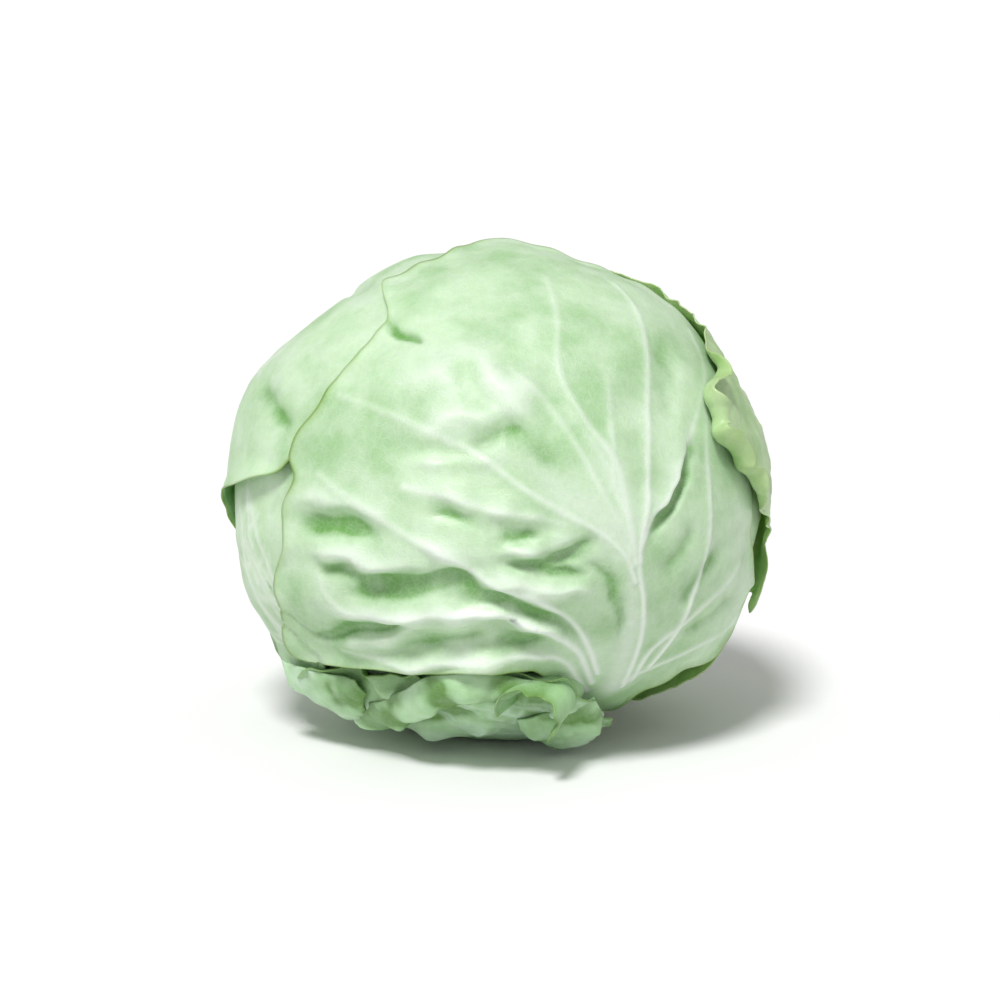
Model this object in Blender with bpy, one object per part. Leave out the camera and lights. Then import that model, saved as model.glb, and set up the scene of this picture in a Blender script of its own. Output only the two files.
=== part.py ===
"""A fresh cabbage head as it was cut, resting on a table.

The head is a packed ball of inner leaves with nine wrapper leaves round it and a short
cut stalk below. It leans, so that the stalk points down and to the right, and it rests
on a small flat spot between the stalk and its left side.

Directions on the head are given as a compass that starts at the stalk: "rise" is the angle
away from the stalk (0 at the stalk, 180 at the crown) and "bearing" is the angle round it
(0 at the front, 90 at the right, 180 at the back). Angles are in degrees, sizes in metres.

Every wrapper leaf is one sheet. Its outer face follows the outside of the head, pushed in by
one leaf pitch wherever another leaf lies over it, so that the sheets nest and never touch.
"""

import math
from dataclasses import dataclass

import bmesh
import bpy
import numpy as np

# Driving dimensions of the whole head, outside the wrapper leaves.
HEAD_WIDTH = 0.196
HEAD_DEPTH = 0.191
HEAD_HEIGHT = 0.180
FLAT_DEPTH = 0.0035        # how far the weight presses the underside in
LEAN = 20.0                # from upright, towards the left at the crown

# Leaves.
LEAF_THICKNESS = 0.0010
LEAF_CLEARANCE = 0.0014    # air between one leaf and the next
RIB_HEIGHT = 0.0022        # the midrib stands this far out of the blade at the stalk
RIB_HALF_WIDTH = 7.0       # degrees seen from the middle of the head
RIB_LENGTH = 75.0          # the midrib has sunk into the blade at this rise
RIB_PRINT = 1.5            # a midrib shows this much wider through the leaves over it
TUCK_START = 3.0           # a covered leaf stays pushed in this far past the margin over it
TUCK_END = 24.0            # and is back at the outside of the head here
GATHER_START = 14.0        # the leaves all gather in one stack at the stalk, up to this rise
GATHER_END = 76.0          # and have spread over the head at this one
LEAF_CELLS = (16, 16)      # quads across and along a leaf
LONG_CELLS = (16, 24)      # the same on the leaf that goes over the crown
SHORT_CELLS = (10, 10)     # the same on the small leaf under the head

# Stalk.
STALK_RADIUS = 0.0145
STALK_TAPER = 0.92         # width of the cut end against the top
STALK_CLEARANCE = 0.0008   # air between the stalk and what is round it
FLOOR_CLEARANCE = 0.0006   # the cut end stays this far above the table
STALK_SIDES = 40
CUT_CHAMFER = 0.0008

# Packed head.
HEAD_SEGMENTS = 40
HEAD_RINGS = 24

LEAF_PITCH = LEAF_THICKNESS + LEAF_CLEARANCE
HALF_SIZES = np.array([HEAD_WIDTH, HEAD_DEPTH, HEAD_HEIGHT]) / 2
CENTRE_HEIGHT = HEAD_HEIGHT / 2 - FLAT_DEPTH


@dataclass(frozen=True)
class Leaf:
    """One wrapper leaf: where the middle of its blade lies, its outline and its free lip.

    The outline holds (heading, reach) pairs in degrees round the middle of the blade. Heading 0
    points up the leaf to its tip, 90 to the right as seen from outside, and 180 to the stalk,
    where the reach is worked out so that the leaf ends at the stalk.
    """

    name: str
    rise: float
    bearing: float
    outline: tuple
    colour: tuple
    cells: tuple = LEAF_CELLS
    lip_heading: float = 0.0
    lip_spread: float = 60.0
    lip_height: float = 0.0


ROUND = (
    (-165, 66), (-140, 60), (-95, 60), (-45, 62), (0, 64), (45, 62), (95, 60), (140, 60), (165, 66),
)
PALE = (0.62, 0.80, 0.52)
MID = (0.50, 0.72, 0.40)
DEEP = (0.38, 0.62, 0.28)

# From the inside out. Each leaf lies over those before it.
LEAVES = (
    Leaf("inner_front_leaf", 84, -4, ROUND, MID),
    Leaf("back_leaf", 86, 172, ROUND, MID),
    Leaf("lower_right_leaf", 74, 80, (
        (-165, 58), (-130, 52), (-80, 48), (-30, 52), (20, 54), (80, 52), (130, 52), (165, 58),
    ), MID),
    Leaf("lower_left_leaf", 78, -60, (
        (-165, 60), (-125, 56), (-80, 52), (-30, 58), (25, 60), (80, 54), (130, 54), (165, 60),
    ), PALE),
    Leaf("top_leaf", 106, -138, (
        (-157, 72), (-120, 54), (-79, 55), (-40, 64), (0, 76), (30, 84), (58, 85), (65, 78),
        (69, 69), (75, 57), (99, 47), (130, 52), (157, 70),
    ), PALE, cells=LONG_CELLS),
    Leaf("front_leaf", 88, 20, (
        (-168, 54), (-157, 38), (-143, 34), (-118, 48), (-108, 64), (-95, 82), (-78, 70), (-57, 69),
        (-44, 65), (-22, 66), (-13, 75), (0, 84), (14, 84), (45, 76), (70, 62), (95, 56),
        (120, 58), (150, 59), (168, 58),
    ), PALE, lip_heading=-110, lip_spread=35, lip_height=0.002),
    Leaf("left_leaf", 74, -128, (
        (-165, 58), (-130, 52), (-80, 44), (-30, 44), (20, 40), (55, 32), (95, 30), (135, 38),
        (165, 56),
    ), MID),
    Leaf("right_leaf", 85, 116, (
        (-165, 62), (-145, 50), (-125, 42), (-108, 37), (-90, 40), (-72, 46), (-48, 40), (-25, 45),
        (0, 56), (40, 58), (80, 56), (120, 54), (145, 56), (165, 62),
    ), MID, lip_heading=-85, lip_spread=50, lip_height=0.004),
    Leaf("bottom_leaf", 36, -48, (
        (-160, 30), (-125, 40), (-80, 42), (-40, 32), (0, 25), (30, 26), (55, 31), (73, 38),
        (95, 31), (130, 24), (160, 22),
    ), DEEP, cells=SHORT_CELLS, lip_heading=60, lip_spread=55, lip_height=0.006),
)


def unit(vectors):
    """The vectors at length 1."""
    vectors = np.asarray(vectors, float)
    return vectors / np.linalg.norm(vectors, axis=-1, keepdims=True)


def smoothstep(low, high, value):
    """0 below low, 1 above high and an S-curve between them."""
    share = np.clip((value - low) / (high - low), 0, 1)
    return share * share * (3 - 2 * share)


def lean(vectors):
    """Turns vectors from the head's own upright frame to the way it leans on the table."""
    angle = math.radians(LEAN)
    turn = np.array([
        [math.cos(angle), 0, -math.sin(angle)],
        [0, 1, 0],
        [math.sin(angle), 0, math.cos(angle)],
    ])
    return np.asarray(vectors, float) @ turn.T


def compass(rise, bearing):
    """The leaned unit vector from the middle of the head to that rise and bearing."""
    rise, bearing = math.radians(rise), math.radians(bearing)
    return lean([
        math.sin(rise) * math.sin(bearing),
        -math.sin(rise) * math.cos(bearing),
        -math.cos(rise),
    ])


STALK_AXIS = compass(0, 0)


def rise_of(directions):
    """The angle between each direction and the stalk, in degrees."""
    return np.degrees(np.arccos(np.clip(directions @ STALK_AXIS, -1, 1)))


def leaf_axes(leaf):
    """The middle of the blade, the way to its tip and the way to its right, as unit vectors."""
    middle = compass(leaf.rise, leaf.bearing)
    tip = unit(compass(leaf.rise + 90, leaf.bearing))
    return middle, tip, np.cross(tip, middle)


def leaf_polar(leaf, directions):
    """(reach, heading) of each direction round the middle of the blade, in degrees."""
    middle, tip, right = leaf_axes(leaf)
    reach = np.degrees(np.arccos(np.clip(directions @ middle, -1, 1)))
    heading = np.degrees(np.arctan2(directions @ right, directions @ tip))
    return reach, heading


def base_rise(leaf):
    """The rise at which a leaf ends beside the stalk."""
    over = len(LEAVES) - LEAVES.index(leaf)
    distance = CENTRE_HEIGHT / math.cos(math.radians(LEAN)) - over * LEAF_PITCH
    return math.degrees(math.asin((STALK_RADIUS + 2 * STALK_CLEARANCE) / distance))


def outline_reach(leaf, heading):
    """How far the leaf reaches at each heading: a smooth closed curve through its outline."""
    headings = [h for h, _ in leaf.outline] + [180]
    reaches = [r for _, r in leaf.outline] + [leaf.rise - base_rise(leaf)]
    turns = np.array([h + 360 * t for t in (-1, 0, 1) for h in headings], float)
    values = np.array(reaches * 3, float)
    slopes = np.gradient(values, turns)
    span = np.clip(np.searchsorted(turns, heading) - 1, 0, len(turns) - 2)
    width = turns[span + 1] - turns[span]
    share = (heading - turns[span]) / width
    return (
        values[span] * (1 + 2 * share) * (1 - share) ** 2
        + slopes[span] * width * share * (1 - share) ** 2
        + values[span + 1] * share ** 2 * (3 - 2 * share)
        - slopes[span + 1] * width * share ** 2 * (1 - share)
    )


def outer_radius(directions):
    """Distance from the middle to the outside of the head: an ellipsoid pressed flat below."""
    ball = 1 / np.sqrt(((directions / HALF_SIZES) ** 2).sum(-1))
    down = np.maximum(-directions[..., 2], 1e-6)
    return np.minimum(ball, CENTRE_HEIGHT / down)


def rib_height(leaf, directions, widen=1.0):
    """How far the leaf's midrib stands out of its blade; the table presses it flat."""
    reach, heading = leaf_polar(leaf, directions)
    across = reach * np.sin(np.radians(heading))
    along = leaf.rise + reach * np.cos(np.radians(heading))
    ridge = np.exp(-(across / (RIB_HALF_WIDTH * widen)) ** 2)
    sunk = smoothstep(base_rise(leaf), RIB_LENGTH, along) + smoothstep(0, 20, -along)
    free = 1 - smoothstep(0.72, 0.92, -directions[..., 2])
    return RIB_HEIGHT * ridge * free * (1 - sunk)


def past_margin(leaf, directions):
    """Degrees from each direction to the leaf's margin; negative on the leaf itself."""
    reach, heading = leaf_polar(leaf, directions)
    slope = (outline_reach(leaf, heading + 1) - outline_reach(leaf, heading - 1)) / 2
    slope = slope / np.maximum(np.sin(np.radians(reach)), 0.3)
    return (reach - outline_reach(leaf, heading)) / np.hypot(1, slope)


def cover_depth(leaf, directions):
    """How far one leaf pushes in what lies under it."""
    covered = 1 - smoothstep(TUCK_START, TUCK_END, past_margin(leaf, directions))
    gathered = 1 - smoothstep(GATHER_START, GATHER_END, rise_of(directions))
    return LEAF_PITCH * np.maximum(covered, gathered)


def outside_of_layer(level, directions):
    """Distance from the middle to the outside of a layer; layer 0 is the packed head.

    Layer n is LEAVES[n - 1]. Its own midrib is not part of this distance.
    """
    radius = outer_radius(directions)
    for over in LEAVES[level:]:
        radius = radius - cover_depth(over, directions)
    for under in LEAVES[:max(level - 1, 0)]:
        radius = radius + rib_height(under, directions, RIB_PRINT)
    return radius


def disc_of_square(a, b):
    """(radius, heading in degrees) in a unit disc for a point of the square from -1 to 1."""
    radius = np.maximum(np.abs(a), np.abs(b))
    safe = np.where(radius > 0, radius, 1)
    quarter = math.pi / 4
    heading = np.where(
        np.abs(a) > np.abs(b),
        np.where(a > 0, 2, -2) * quarter - quarter * b / safe * np.sign(a),
        np.where(b > 0, quarter * a / safe, np.where(a < 0, -4, 4) * quarter - quarter * a / safe),
    )
    return radius, np.degrees(np.where(radius > 0, heading, 0))


def leaf_points(leaf, level, square):
    """The outer face of a leaf, for the points of its square grid."""
    share, heading = disc_of_square(square[:, 0], square[:, 1])
    reach = np.radians(share * outline_reach(leaf, heading))
    turn = np.radians(heading)
    middle, tip, right = leaf_axes(leaf)
    sideways = np.cos(turn)[:, None] * tip + np.sin(turn)[:, None] * right
    directions = np.cos(reach)[:, None] * middle + np.sin(reach)[:, None] * sideways
    off_heading = (heading - leaf.lip_heading + 180) % 360 - 180
    lip = leaf.lip_height * np.exp(-(off_heading / leaf.lip_spread) ** 2)
    radius = outside_of_layer(level, directions) + rib_height(leaf, directions)
    radius = radius + lip * smoothstep(0.7, 1.0, share)
    floor = CENTRE_HEIGHT / np.maximum(-directions[:, 2], 1e-6)
    return np.minimum(radius, floor)[:, None] * directions


def material(name, colour, roughness):
    """A plain Principled material."""
    made = bpy.data.materials.new(name)
    made.use_nodes = True
    shader = made.node_tree.nodes["Principled BSDF"]
    shader.inputs["Base Color"].default_value = (*colour, 1)
    shader.inputs["Roughness"].default_value = roughness
    shader.inputs["Metallic"].default_value = 0.0
    return made


def add_object(name, bm, colour, roughness, home):
    """Links a finished bmesh as one named object standing on the home empty."""
    mesh = bpy.data.meshes.new(name)
    bm.to_mesh(mesh)
    bm.free()
    mesh.shade_smooth()
    mesh.materials.append(material(name + "_skin", colour, roughness))
    made = bpy.data.objects.new(name, mesh)
    made.parent = home
    bpy.context.scene.collection.objects.link(made)
    return made


def build_leaf(leaf, level, home):
    """One wrapper leaf: a square grid bent to its outline, given its thickness inwards."""
    bm = bmesh.new()
    across, along = leaf.cells
    bmesh.ops.create_grid(bm, x_segments=across, y_segments=along, size=1)
    square = np.array([vertex.co[:2] for vertex in bm.verts])
    for vertex, point in zip(bm.verts, leaf_points(leaf, level, square)):
        vertex.co = point
    bm.normal_update()
    outward = sum(face.normal.dot(face.calc_center_median()) for face in bm.faces)
    if outward < 0:
        bmesh.ops.reverse_faces(bm, faces=bm.faces)
    made = add_object(leaf.name, bm, leaf.colour, 0.5, home)
    blade = made.modifiers.new("blade", "SOLIDIFY")
    blade.thickness = LEAF_THICKNESS
    blade.offset = -1
    return made


def build_packed_head(home):
    """The tight inner leaves as one solid ball."""
    bm = bmesh.new()
    bmesh.ops.create_uvsphere(bm, u_segments=HEAD_SEGMENTS, v_segments=HEAD_RINGS, radius=1)
    directions = unit(lean([vertex.co[:] for vertex in bm.verts]))
    radius = outside_of_layer(0, directions)
    for vertex, direction, distance in zip(bm.verts, directions, radius):
        vertex.co = direction * distance
    return add_object("packed_head", bm, PALE, 0.5, home)


def build_stalk(home):
    """The cut stalk, from just below the packed head to just above the table."""
    lean_angle = math.radians(LEAN)
    low_corner = STALK_RADIUS * math.sin(lean_angle)
    cut_end = (CENTRE_HEIGHT - FLOOR_CLEARANCE - low_corner) / math.cos(lean_angle)
    rings = np.array([compass(r, b) for r in np.linspace(0, 18, 8) for b in range(0, 360, 20)])
    under_head = (outside_of_layer(0, rings) * (rings @ STALK_AXIS)).max()
    top_end = under_head + STALK_CLEARANCE
    bm = bmesh.new()
    bmesh.ops.create_cone(
        bm, cap_ends=True, segments=STALK_SIDES, depth=cut_end - top_end,
        radius1=STALK_RADIUS * STALK_TAPER, radius2=STALK_RADIUS,
    )
    cut_edges = [edge for edge in bm.edges if all(v.co.z < 0 for v in edge.verts)]
    bmesh.ops.bevel(bm, geom=cut_edges, offset=CUT_CHAMFER, segments=1, affect="EDGES")
    made = add_object("stalk", bm, (0.78, 0.84, 0.62), 0.6, home)
    made.location = STALK_AXIS * (cut_end + top_end) / 2
    made.rotation_euler = (0, -lean_angle, 0)
    return made


def build_cabbage():
    """The whole head, standing on the table at z = 0."""
    for old in list(bpy.data.objects):
        bpy.data.objects.remove(old)
    home = bpy.data.objects.new("head_centre", None)
    home.location = (0, 0, CENTRE_HEIGHT)
    bpy.context.scene.collection.objects.link(home)
    build_packed_head(home)
    build_stalk(home)
    for number, leaf in enumerate(LEAVES):
        build_leaf(leaf, number + 1, home)


build_cabbage()
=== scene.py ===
"""The look of a fresh cabbage head: wrapper leaves, packed heart and cut stalk.

Directions on the head are given as a compass that starts at the stalk. "Rise" is the angle away
from the stalk (0 at the stalk, 180 at the crown) and "bearing" is the angle round it (0 at the
front, 90 at the right, 180 at the back). Angles are in degrees and sizes in metres.
"""

import logging
import math
from dataclasses import dataclass, field
from enum import Enum

import bpy
import numpy as np
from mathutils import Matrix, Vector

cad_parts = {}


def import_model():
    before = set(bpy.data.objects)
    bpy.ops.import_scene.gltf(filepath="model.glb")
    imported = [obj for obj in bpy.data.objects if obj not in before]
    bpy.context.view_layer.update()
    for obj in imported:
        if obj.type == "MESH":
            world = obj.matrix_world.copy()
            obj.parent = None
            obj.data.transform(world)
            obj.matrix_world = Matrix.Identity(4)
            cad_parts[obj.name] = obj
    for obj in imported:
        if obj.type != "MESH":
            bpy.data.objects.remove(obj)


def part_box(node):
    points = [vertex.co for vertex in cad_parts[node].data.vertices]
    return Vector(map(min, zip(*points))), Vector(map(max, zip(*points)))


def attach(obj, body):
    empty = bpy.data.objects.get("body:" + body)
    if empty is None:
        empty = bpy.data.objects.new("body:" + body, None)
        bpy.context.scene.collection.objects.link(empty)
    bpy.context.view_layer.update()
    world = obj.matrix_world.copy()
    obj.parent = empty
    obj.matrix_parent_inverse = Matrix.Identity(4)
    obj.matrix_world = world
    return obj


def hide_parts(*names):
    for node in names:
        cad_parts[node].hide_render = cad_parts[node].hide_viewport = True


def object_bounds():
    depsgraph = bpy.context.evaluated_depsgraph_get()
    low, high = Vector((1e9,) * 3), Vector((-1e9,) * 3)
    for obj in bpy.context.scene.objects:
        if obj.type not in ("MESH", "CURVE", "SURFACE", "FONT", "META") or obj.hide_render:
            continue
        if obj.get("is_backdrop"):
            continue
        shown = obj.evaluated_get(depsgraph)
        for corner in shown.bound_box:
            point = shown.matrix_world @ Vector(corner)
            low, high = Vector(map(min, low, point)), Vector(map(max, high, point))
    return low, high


LOG = logging.getLogger("cabbage")
MILLI = 0.001
BODY = "root"
BLADE_FLOOR_GAP = 0.6 * MILLI
LOBE_FLOOR_GAP = 1.2 * MILLI
ROLL_FLOOR_GAP = 0.2 * MILLI
AIM_BELOW_CENTRE = 0.0035

Array = np.ndarray
Colour = tuple[float, float, float]
Place = tuple[float, float]


# ---------------------------------------------------------------- small mathematics


def unit(vectors: Array) -> Array:
    """The vectors at length 1."""
    return vectors / np.linalg.norm(vectors, axis=-1, keepdims=True)


def smoothstep(low: float, high: float, value: Array) -> Array:
    """An S-curve that is 0 below low and 1 above high.

    Args:
        low: where the curve leaves 0.
        high: where it reaches 1.
        value: where to read it.

    Returns:
        The curve's height at each value.
    """
    share = np.clip((value - low) / (high - low), 0, 1)
    return share * share * (3 - 2 * share)


def closed_curve(knots: Array, values: Array, at: Array) -> Array:
    """A smooth curve through values given at angles round a full turn.

    Args:
        knots: angles in degrees, rising, within one turn.
        values: the value at each knot.
        at: angles to read, at most one turn outside the knots.

    Returns:
        The curve at each angle.
    """
    turns = np.concatenate([knots + 360 * turn for turn in (-1, 0, 1)])
    heights = np.tile(values, 3).astype(float)
    rates = np.diff(heights) / np.diff(turns)
    before, after = rates[:-1], rates[1:]
    agree = before * after > 0
    slopes = np.zeros_like(heights)
    slopes[1:-1][agree] = 2 * before[agree] * after[agree] / (before[agree] + after[agree])
    span = np.clip(np.searchsorted(turns, at) - 1, 0, len(turns) - 2)
    width = turns[span + 1] - turns[span]
    share = (at - turns[span]) / width
    return (
        heights[span] * (1 + 2 * share) * (1 - share) ** 2
        + slopes[span] * width * share * (1 - share) ** 2
        + heights[span + 1] * share**2 * (3 - 2 * share)
        - slopes[span + 1] * width * share**2 * (1 - share)
    )


def angle_between(heading: Array, other: float) -> Array:
    """The turn from one heading to the others, from -180 to 180 degrees."""
    return (heading - other + 180) % 360 - 180


def heading_wave(heading: Array, seed: int, slowest: int, fastest: int) -> Array:
    """An uneven wave round a leaf's margin, about -1 to 1, that joins up after a full turn.

    Args:
        heading: angles in degrees.
        seed: picks the wave.
        slowest: waves in a turn of its slowest part.
        fastest: waves in a turn of its fastest part.

    Returns:
        The wave's height at each heading.
    """
    dice = np.random.default_rng(seed)
    total = np.zeros_like(heading, dtype=float)
    counts = np.arange(slowest, fastest + 1)
    for count in counts:
        total += np.sin(np.radians(count * heading) + dice.uniform(0, 2 * math.pi))
    return total / math.sqrt(len(counts) / 2) / 1.8


def head_wave(directions: Array, size: float, seed: int, parts: int = 10) -> Array:
    """An uneven wave over the head, about -1 to 1.

    Args:
        directions: unit vectors from the middle of the head.
        size: length of a wave in degrees.
        seed: picks the wave.
        parts: how many plane waves are added.

    Returns:
        The wave's height in each direction.
    """
    dice = np.random.default_rng(seed)
    total = np.zeros(len(directions))
    for way in unit(dice.normal(size=(parts, 3))):
        stretch = math.radians(size) * dice.uniform(0.7, 1.4)
        total += np.sin(directions @ way * 2 * math.pi / stretch + dice.uniform(0, 2 * math.pi))
    return total / math.sqrt(parts / 2) / 1.8


# ---------------------------------------------------------------- the head's form


@dataclass(frozen=True)
class Lump:
    """A broad swelling or hollow of the whole head."""

    rise: float
    bearing: float
    spread: float
    height: float


@dataclass(frozen=True)
class Head:
    """The form that all the leaves follow: a leaning, settled ball with a few lumps."""

    low: Array
    high: Array
    flat_depth: float = 3.5 * MILLI
    lean: float = 20.0
    lumps: tuple[Lump, ...] = ()

    @property
    def half_sizes(self) -> Array:
        """Half the width, depth and height of the ball before it settled."""
        half = (self.high - self.low) / 2
        return np.array([half[0], half[1], half[2] + self.flat_depth / 2])

    @property
    def centre(self) -> Array:
        """The middle of the ball, above the point it rests on."""
        return np.array([0, 0, self.half_sizes[2] - self.flat_depth])

    def leaned(self, vectors: Array) -> Array:
        """Turns vectors from the head's own upright to the way it leans.

        Args:
            vectors: vectors in the upright head.

        Returns:
            The same vectors in the leaning head.
        """
        angle = math.radians(self.lean)
        turn = np.array([
            [math.cos(angle), 0, -math.sin(angle)],
            [0, 1, 0],
            [math.sin(angle), 0, math.cos(angle)],
        ])
        return vectors @ turn.T

    def direction(self, rise: Array, bearing: Array) -> Array:
        """The unit vectors from the middle of the head to places on its compass.

        Args:
            rise: the angle from the stalk.
            bearing: the angle round the stalk.

        Returns:
            A unit vector for each place.
        """
        rise, bearing = np.radians(rise), np.radians(bearing)
        return self.leaned(np.stack([
            np.sin(rise) * np.sin(bearing), -np.sin(rise) * np.cos(bearing), -np.cos(rise),
        ], axis=-1))

    def rise_of(self, directions: Array) -> Array:
        """The angle between each direction and the stalk."""
        stalk = self.direction(np.array(0.0), np.array(0.0))
        return np.degrees(np.arccos(np.clip(directions @ stalk, -1, 1)))

    def radius(self, directions: Array) -> Array:
        """Distance from the middle to the outside of the head.

        Args:
            directions: unit vectors from the middle of the head.

        Returns:
            The distance in each direction.
        """
        ball = 1 / np.sqrt(((directions / self.half_sizes) ** 2).sum(-1))
        for lump in self.lumps:
            middle = self.direction(np.array(lump.rise), np.array(lump.bearing))
            away = np.degrees(np.arccos(np.clip(directions @ middle, -1, 1)))
            ball = ball + lump.height * np.exp(-((away / lump.spread) ** 2))
        return np.minimum(ball, self.floor_radius(directions))

    def floor_radius(self, directions: Array) -> Array:
        """Distance from the middle to the table, without end for directions that miss it."""
        return self.centre[2] / np.maximum(-directions[..., 2], 1e-6)


@dataclass(frozen=True)
class Line:
    """A smooth line on the head through a few places."""

    places: tuple[Place, ...]
    steps: int = 5

    def directions(self, head: Head) -> Array:
        """Unit vectors along the line, evenly many between each two places.

        Args:
            head: the head that the line is on.

        Returns:
            The unit vectors, from the first place to the last.
        """
        corners = head.direction(*np.array(self.places, float).T)
        padded = np.concatenate([
            [2 * corners[0] - corners[1]], corners, [2 * corners[-1] - corners[-2]],
        ])
        rows = []
        for a, b, c, d in zip(padded, padded[1:], padded[2:], padded[3:]):
            for t in np.arange(self.steps) / self.steps:
                rows.append(
                    b + 0.5 * t * (c - a)
                    + t * t * (a - 2.5 * b + 2 * c - 0.5 * d)
                    + t * t * t * (-0.5 * a + 1.5 * b - 1.5 * c + 0.5 * d)
                )
        rows.append(corners[-1])
        return unit(np.array(rows))


def nearest_on_line(line: Array, directions: Array, radius: float, reach: float) -> tuple:
    """Finds how far each direction is from a line on the head.

    Args:
        line: unit vectors along the line.
        directions: unit vectors to look from.
        radius: the head's radius, which turns angles into distances.
        reach: distances past this are not needed.

    Returns:
        Which directions are within reach, their distance to the line (positive on the left of
        the line's way as seen from outside), and their place along it from 0 to 1.
    """
    points = line * radius
    middle = points.mean(0)
    span = np.linalg.norm(points - middle, axis=1).max() + reach
    near = np.flatnonzero(((directions * radius - middle) ** 2).sum(-1) < span * span)
    here = directions[near] * radius
    best = np.full(len(near), np.inf)
    side = np.zeros(len(near))
    place = np.zeros(len(near))
    for step, (start, end) in enumerate(zip(points, points[1:])):
        way = end - start
        offset = here - start
        share = np.clip(offset @ way / (way @ way), 0, 1)
        apart = ((offset - share[:, None] * way) ** 2).sum(-1)
        closer = apart < best
        best[closer] = apart[closer]
        place[closer] = (step + share[closer]) / (len(points) - 1)
        left = np.cross(directions[near[closer]], way)
        side[closer] = (offset[closer] * left).sum(-1)
    return near, np.sqrt(best) * np.where(side < 0, -1, 1), place


@dataclass(frozen=True)
class Vein(Line):
    """A vein: a pale raised line that thins from its first place to its last."""

    half_width: float = 1.2 * MILLI
    end_half_width: float = 0.5 * MILLI
    height: float = 0.9 * MILLI
    shoulder: float = 3.0      # the blade swells this many half widths to each side
    brightness: float = 1.0


@dataclass(frozen=True)
class Fold(Line):
    """A ridge, or a trough where height is negative, that fades out at both its ends."""

    height: float = 2.0 * MILLI
    left_width: float = 7.0 * MILLI
    right_width: float = 3.0 * MILLI
    fade: float = 0.3


def crest(*places: Place, height: float, above: float = 6.0, below: float = 3.0) -> Fold:
    """A ridge drawn with its upper side on the left, with sizes in millimetres."""
    return Fold(places, height=height * MILLI, left_width=above * MILLI, right_width=below * MILLI)


def trough(*places: Place, depth: float, above: float = 3.0, below: float = 3.0) -> Fold:
    """A valley drawn with its upper side on the left, with sizes in millimetres."""
    return Fold(places, height=-depth * MILLI, left_width=above * MILLI, right_width=below * MILLI)


@dataclass(frozen=True)
class Roll:
    """A stretch of margin that turns outwards."""

    heading: float
    spread: float
    length: float
    radius: float


# ---------------------------------------------------------------- finishes


@dataclass(frozen=True)
class LeafFinish:
    """Colours and surface of a leaf. The colours are linear light."""

    name: str
    blade: Colour
    # A deeper green: used for random cloudy tone, and also as painted shade in fold troughs and
    # along the midrib
    deep_tone_and_shade: Colour
    vein: Colour
    margin: Colour
    margin_amount: float = 0.6
    net: float = 0.10
    roughness: float = 0.40
    bump: float = 0.20


@dataclass(frozen=True)
class StalkFinish:
    """Colours of the stalk's skin and of its cut face."""

    name: str = "cut_stalk"
    skin: Colour = (0.55, 0.66, 0.36)
    pith: Colour = (0.80, 0.83, 0.62)
    ring: Colour = (0.56, 0.60, 0.32)
    dry: Colour = (0.46, 0.36, 0.18)


def srgb(red: int, green: int, blue: int) -> Colour:
    """A screen colour, 0 to 255, as linear light.

    Args:
        red: its red part.
        green: its green part.
        blue: its blue part.

    Returns:
        The colour as linear light, 0 to 1.
    """
    parts = np.array([red, green, blue]) / 255
    light = np.where(parts <= 0.04045, parts / 12.92, ((parts + 0.055) / 1.055) ** 2.4)
    return tuple(float(part) for part in light)


# The pale finish's margin colour is the leaf's own olive edge, darkened further as painted shade
# for the thin shadow line along the margin
PALE = LeafFinish(
    "pale_leaf",
    blade=srgb(188, 218, 178), deep_tone_and_shade=srgb(98, 154, 70), vein=srgb(230, 241, 228),
    margin=srgb(116, 146, 52), margin_amount=0.95,
)
MID = LeafFinish(
    "mid_leaf",
    blade=srgb(172, 206, 156), deep_tone_and_shade=srgb(126, 174, 100), vein=srgb(218, 232, 208),
    margin=srgb(146, 172, 84),
)
RIM = LeafFinish(
    "rim_leaf",
    blade=srgb(178, 210, 156), deep_tone_and_shade=srgb(104, 150, 66), vein=srgb(220, 232, 202),
    margin=srgb(156, 180, 116), margin_amount=0.55,
)
DEEP = LeafFinish(
    "deep_leaf",
    blade=srgb(176, 216, 164), deep_tone_and_shade=srgb(92, 138, 52), vein=srgb(204, 230, 208),
    margin=srgb(92, 124, 50), margin_amount=0.75,
)


class Socket(Enum):
    """Kinds of node group socket."""

    NUMBER = "NodeSocketFloat"
    COLOUR = "NodeSocketColor"
    VECTOR = "NodeSocketVector"
    GEOMETRY = "NodeSocketGeometry"
    WHOLE = "NodeSocketInt"
    MATERIAL = "NodeSocketMaterial"


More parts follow.
